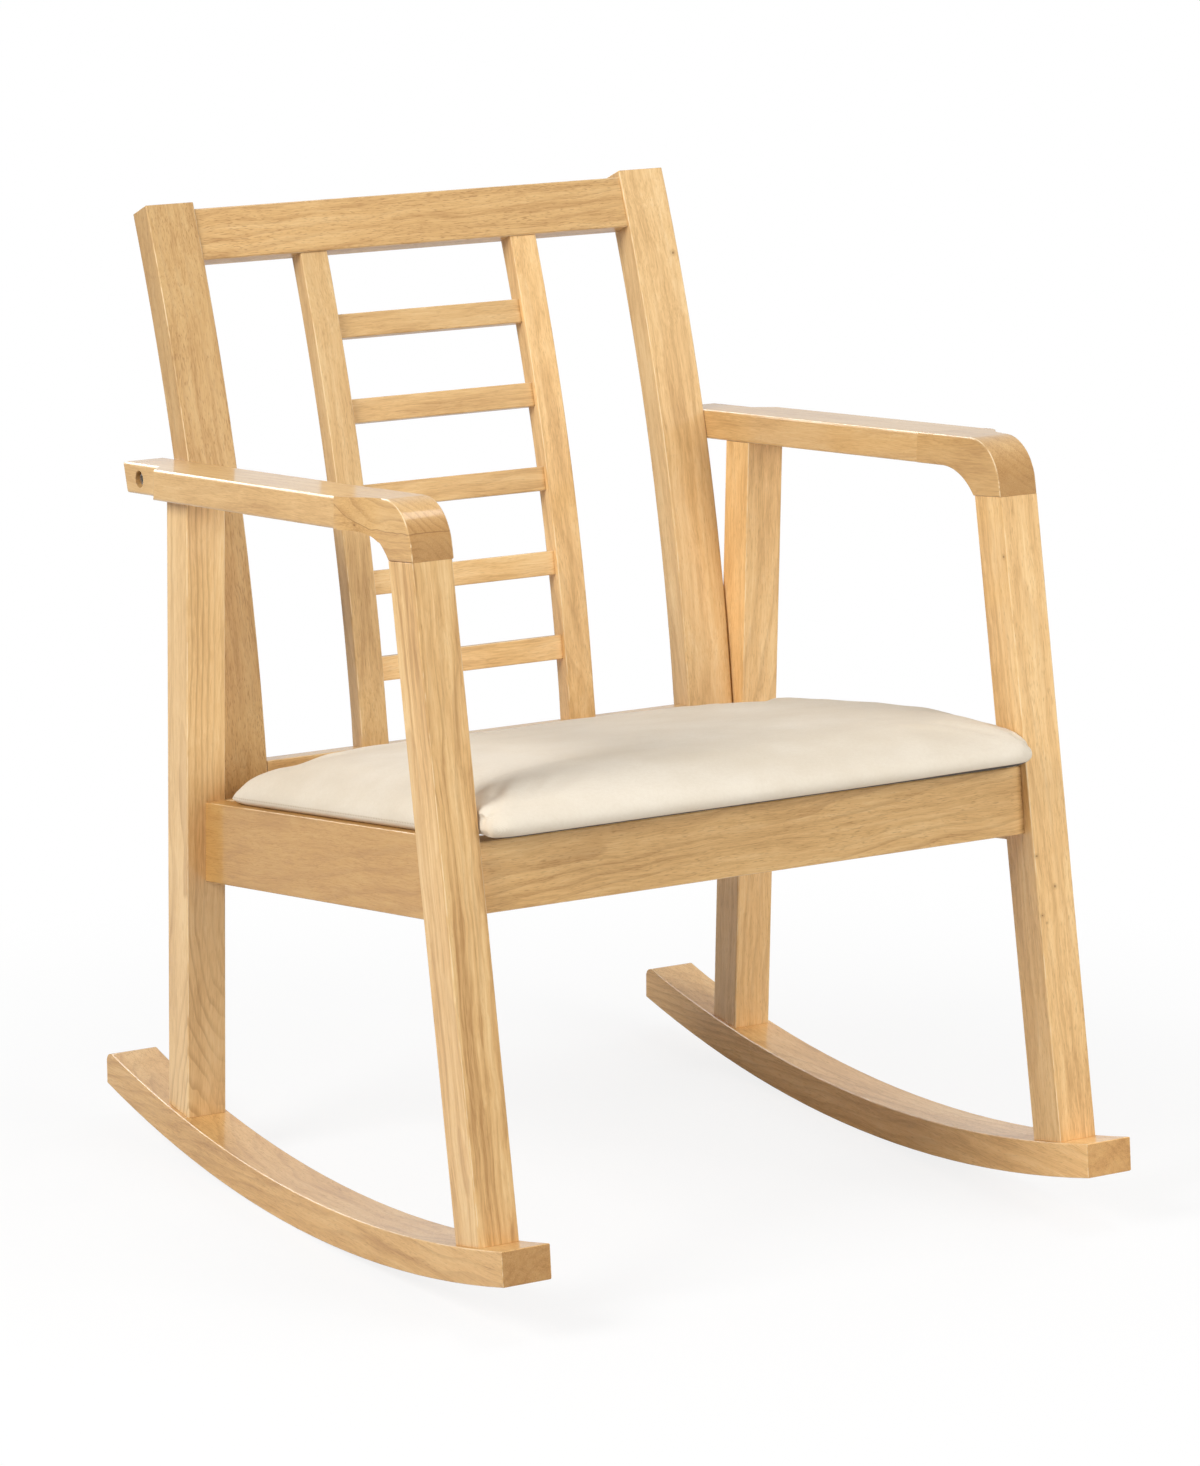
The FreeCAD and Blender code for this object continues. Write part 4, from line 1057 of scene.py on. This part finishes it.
def seen_share(graph, path, mirrored):
    """1 for what the camera sees, and a share for what is mirrored."""
    seen = graph.math("MAXIMUM", path["Is Camera Ray"], graph.times(path["Is Glossy Ray"], mirrored))
    return graph.math("MAXIMUM", seen, path["Is Transmission Ray"])


def floor_material():
    """Pale floor that reads as white and keeps a soft shadow near the chair."""
    material, graph, shader = new_material("studio_floor")
    place = graph.place()
    path = graph.add("ShaderNodeLightPath").outputs
    pale = graph.mix(graph.noise(place, floor_cloud_scale), floor_grey, floor_pale)
    graph.fill(shader, {"Base Color": graph.mix(path["Is Diffuse Ray"], pale, floor_bounce), "Roughness": 0.9,
                        "Specular IOR Level": 0.1})
    glow = graph.add("ShaderNodeEmission", {"Color": white, "Strength": 1.0})
    seen = graph.times(seen_share(graph, path, floor_mirrored), graph.span(graph.length(place), *floor_glow))
    blend = graph.add("ShaderNodeMixShader", {0: seen, 1: shader.outputs[0], 2: glow.outputs[0]})
    output = [node for node in material.node_tree.nodes if node.type == "OUTPUT_MATERIAL"][0]
    graph.put(output.inputs[0], blend.outputs[0])
    return material


def surroundings():
    """White world: soft as a light, full white where it is seen or mirrored."""
    world = bpy.data.worlds.new("studio_world")
    bpy.context.scene.world = world
    world.use_nodes = True
    world.node_tree.nodes.clear()
    graph = Graph(world.node_tree)
    seen = seen_share(graph, graph.add("ShaderNodeLightPath").outputs, world_mirrored)
    soft = graph.add("ShaderNodeBackground", {"Color": white, "Strength": world_light})
    full = graph.add("ShaderNodeBackground", {"Color": white, "Strength": 1.0})
    blend = graph.add("ShaderNodeMixShader", {0: seen, 1: soft.outputs[0], 2: full.outputs[0]})
    graph.add("ShaderNodeOutputWorld", {0: blend.outputs[0]})


# what the lamps are turned to, and where the two key lamps hang
lamp_aim = Vector((0, 0, 0.4))
key_place = (-2.5, -0.4, 2.1)


def lamp(name, place, width, height, power):
    """Rectangular soft box turned towards the chair; returns its object."""
    data = bpy.data.lights.new(name, "AREA")
    data.shape = "RECTANGLE"
    data.size = width
    data.size_y = height
    data.energy = power
    made = bpy.data.objects.new(name, data)
    made.location = place
    made.rotation_euler = (lamp_aim - Vector(place)).to_track_quat("-Z", "Y").to_euler()
    bpy.context.scene.collection.objects.link(made)
    return made


def photo_camera():
    """Camera that stands where the photograph was taken."""
    data = bpy.data.cameras.new("photo_camera")
    data.sensor_fit = "AUTO"
    data.sensor_width = 36
    data.lens = camera_lens
    data.shift_x, data.shift_y = camera_shift
    camera = bpy.data.objects.new("photo_camera", data)
    camera.location = camera_place
    camera.rotation_euler = (math.pi / 2 - camera_pitch, 0, -camera_yaw)
    bpy.context.scene.collection.objects.link(camera)
    bpy.context.scene.camera = camera


def studio():
    """Plain floor, white surroundings, soft lamps and the photograph's camera."""
    bpy.ops.mesh.primitive_plane_add(size=40, location=(0, 0, -0.0005))
    floor = bpy.context.object
    floor.name = "studio_floor"
    floor.data.materials.append(floor_material())
    surroundings()
    # two thirds of the key light, and the fills from the right and the front, leave no mirror image
    lamp("key_box", key_place, 1.3, 1.3, 48).visible_glossy = False
    lamp("key_shine", key_place, 1.3, 1.3, 24)
    lamp("side_box", (2.6, 0.9, 1.5), 1.4, 1.4, 16).visible_glossy = False
    lamp("top_box", (0.6, -0.5, 2.8), 1.4, 0.5, 12)
    lamp("front_box", (1.2, -2.9, 1.4), 1.6, 1.6, 49).visible_glossy = False
    # a card behind the chair that only shows as the bright line on its upper edges
    lamp("back_card", (-0.4, 2.6, 1.9), 2.4, 1.4, 55).visible_diffuse = False
    photo_camera()
    bpy.context.scene.view_settings.view_transform = "Standard"


studio()
dress_wood()
repaint("_dowels", dowel_material())
repaint(("_bolts", "_washers"), steel_material("zinc_bolt", paint(168, 168, 165), paint(205, 204, 200)))
repaint("_inserts", steel_material("brass_insert", paint(176, 148, 92), paint(205, 178, 118)))
repaint("_screws", steel_material("zinc_screw", paint(150, 148, 140), paint(196, 192, 180)))
repaint("seat_board", plywood_material())
cushion()
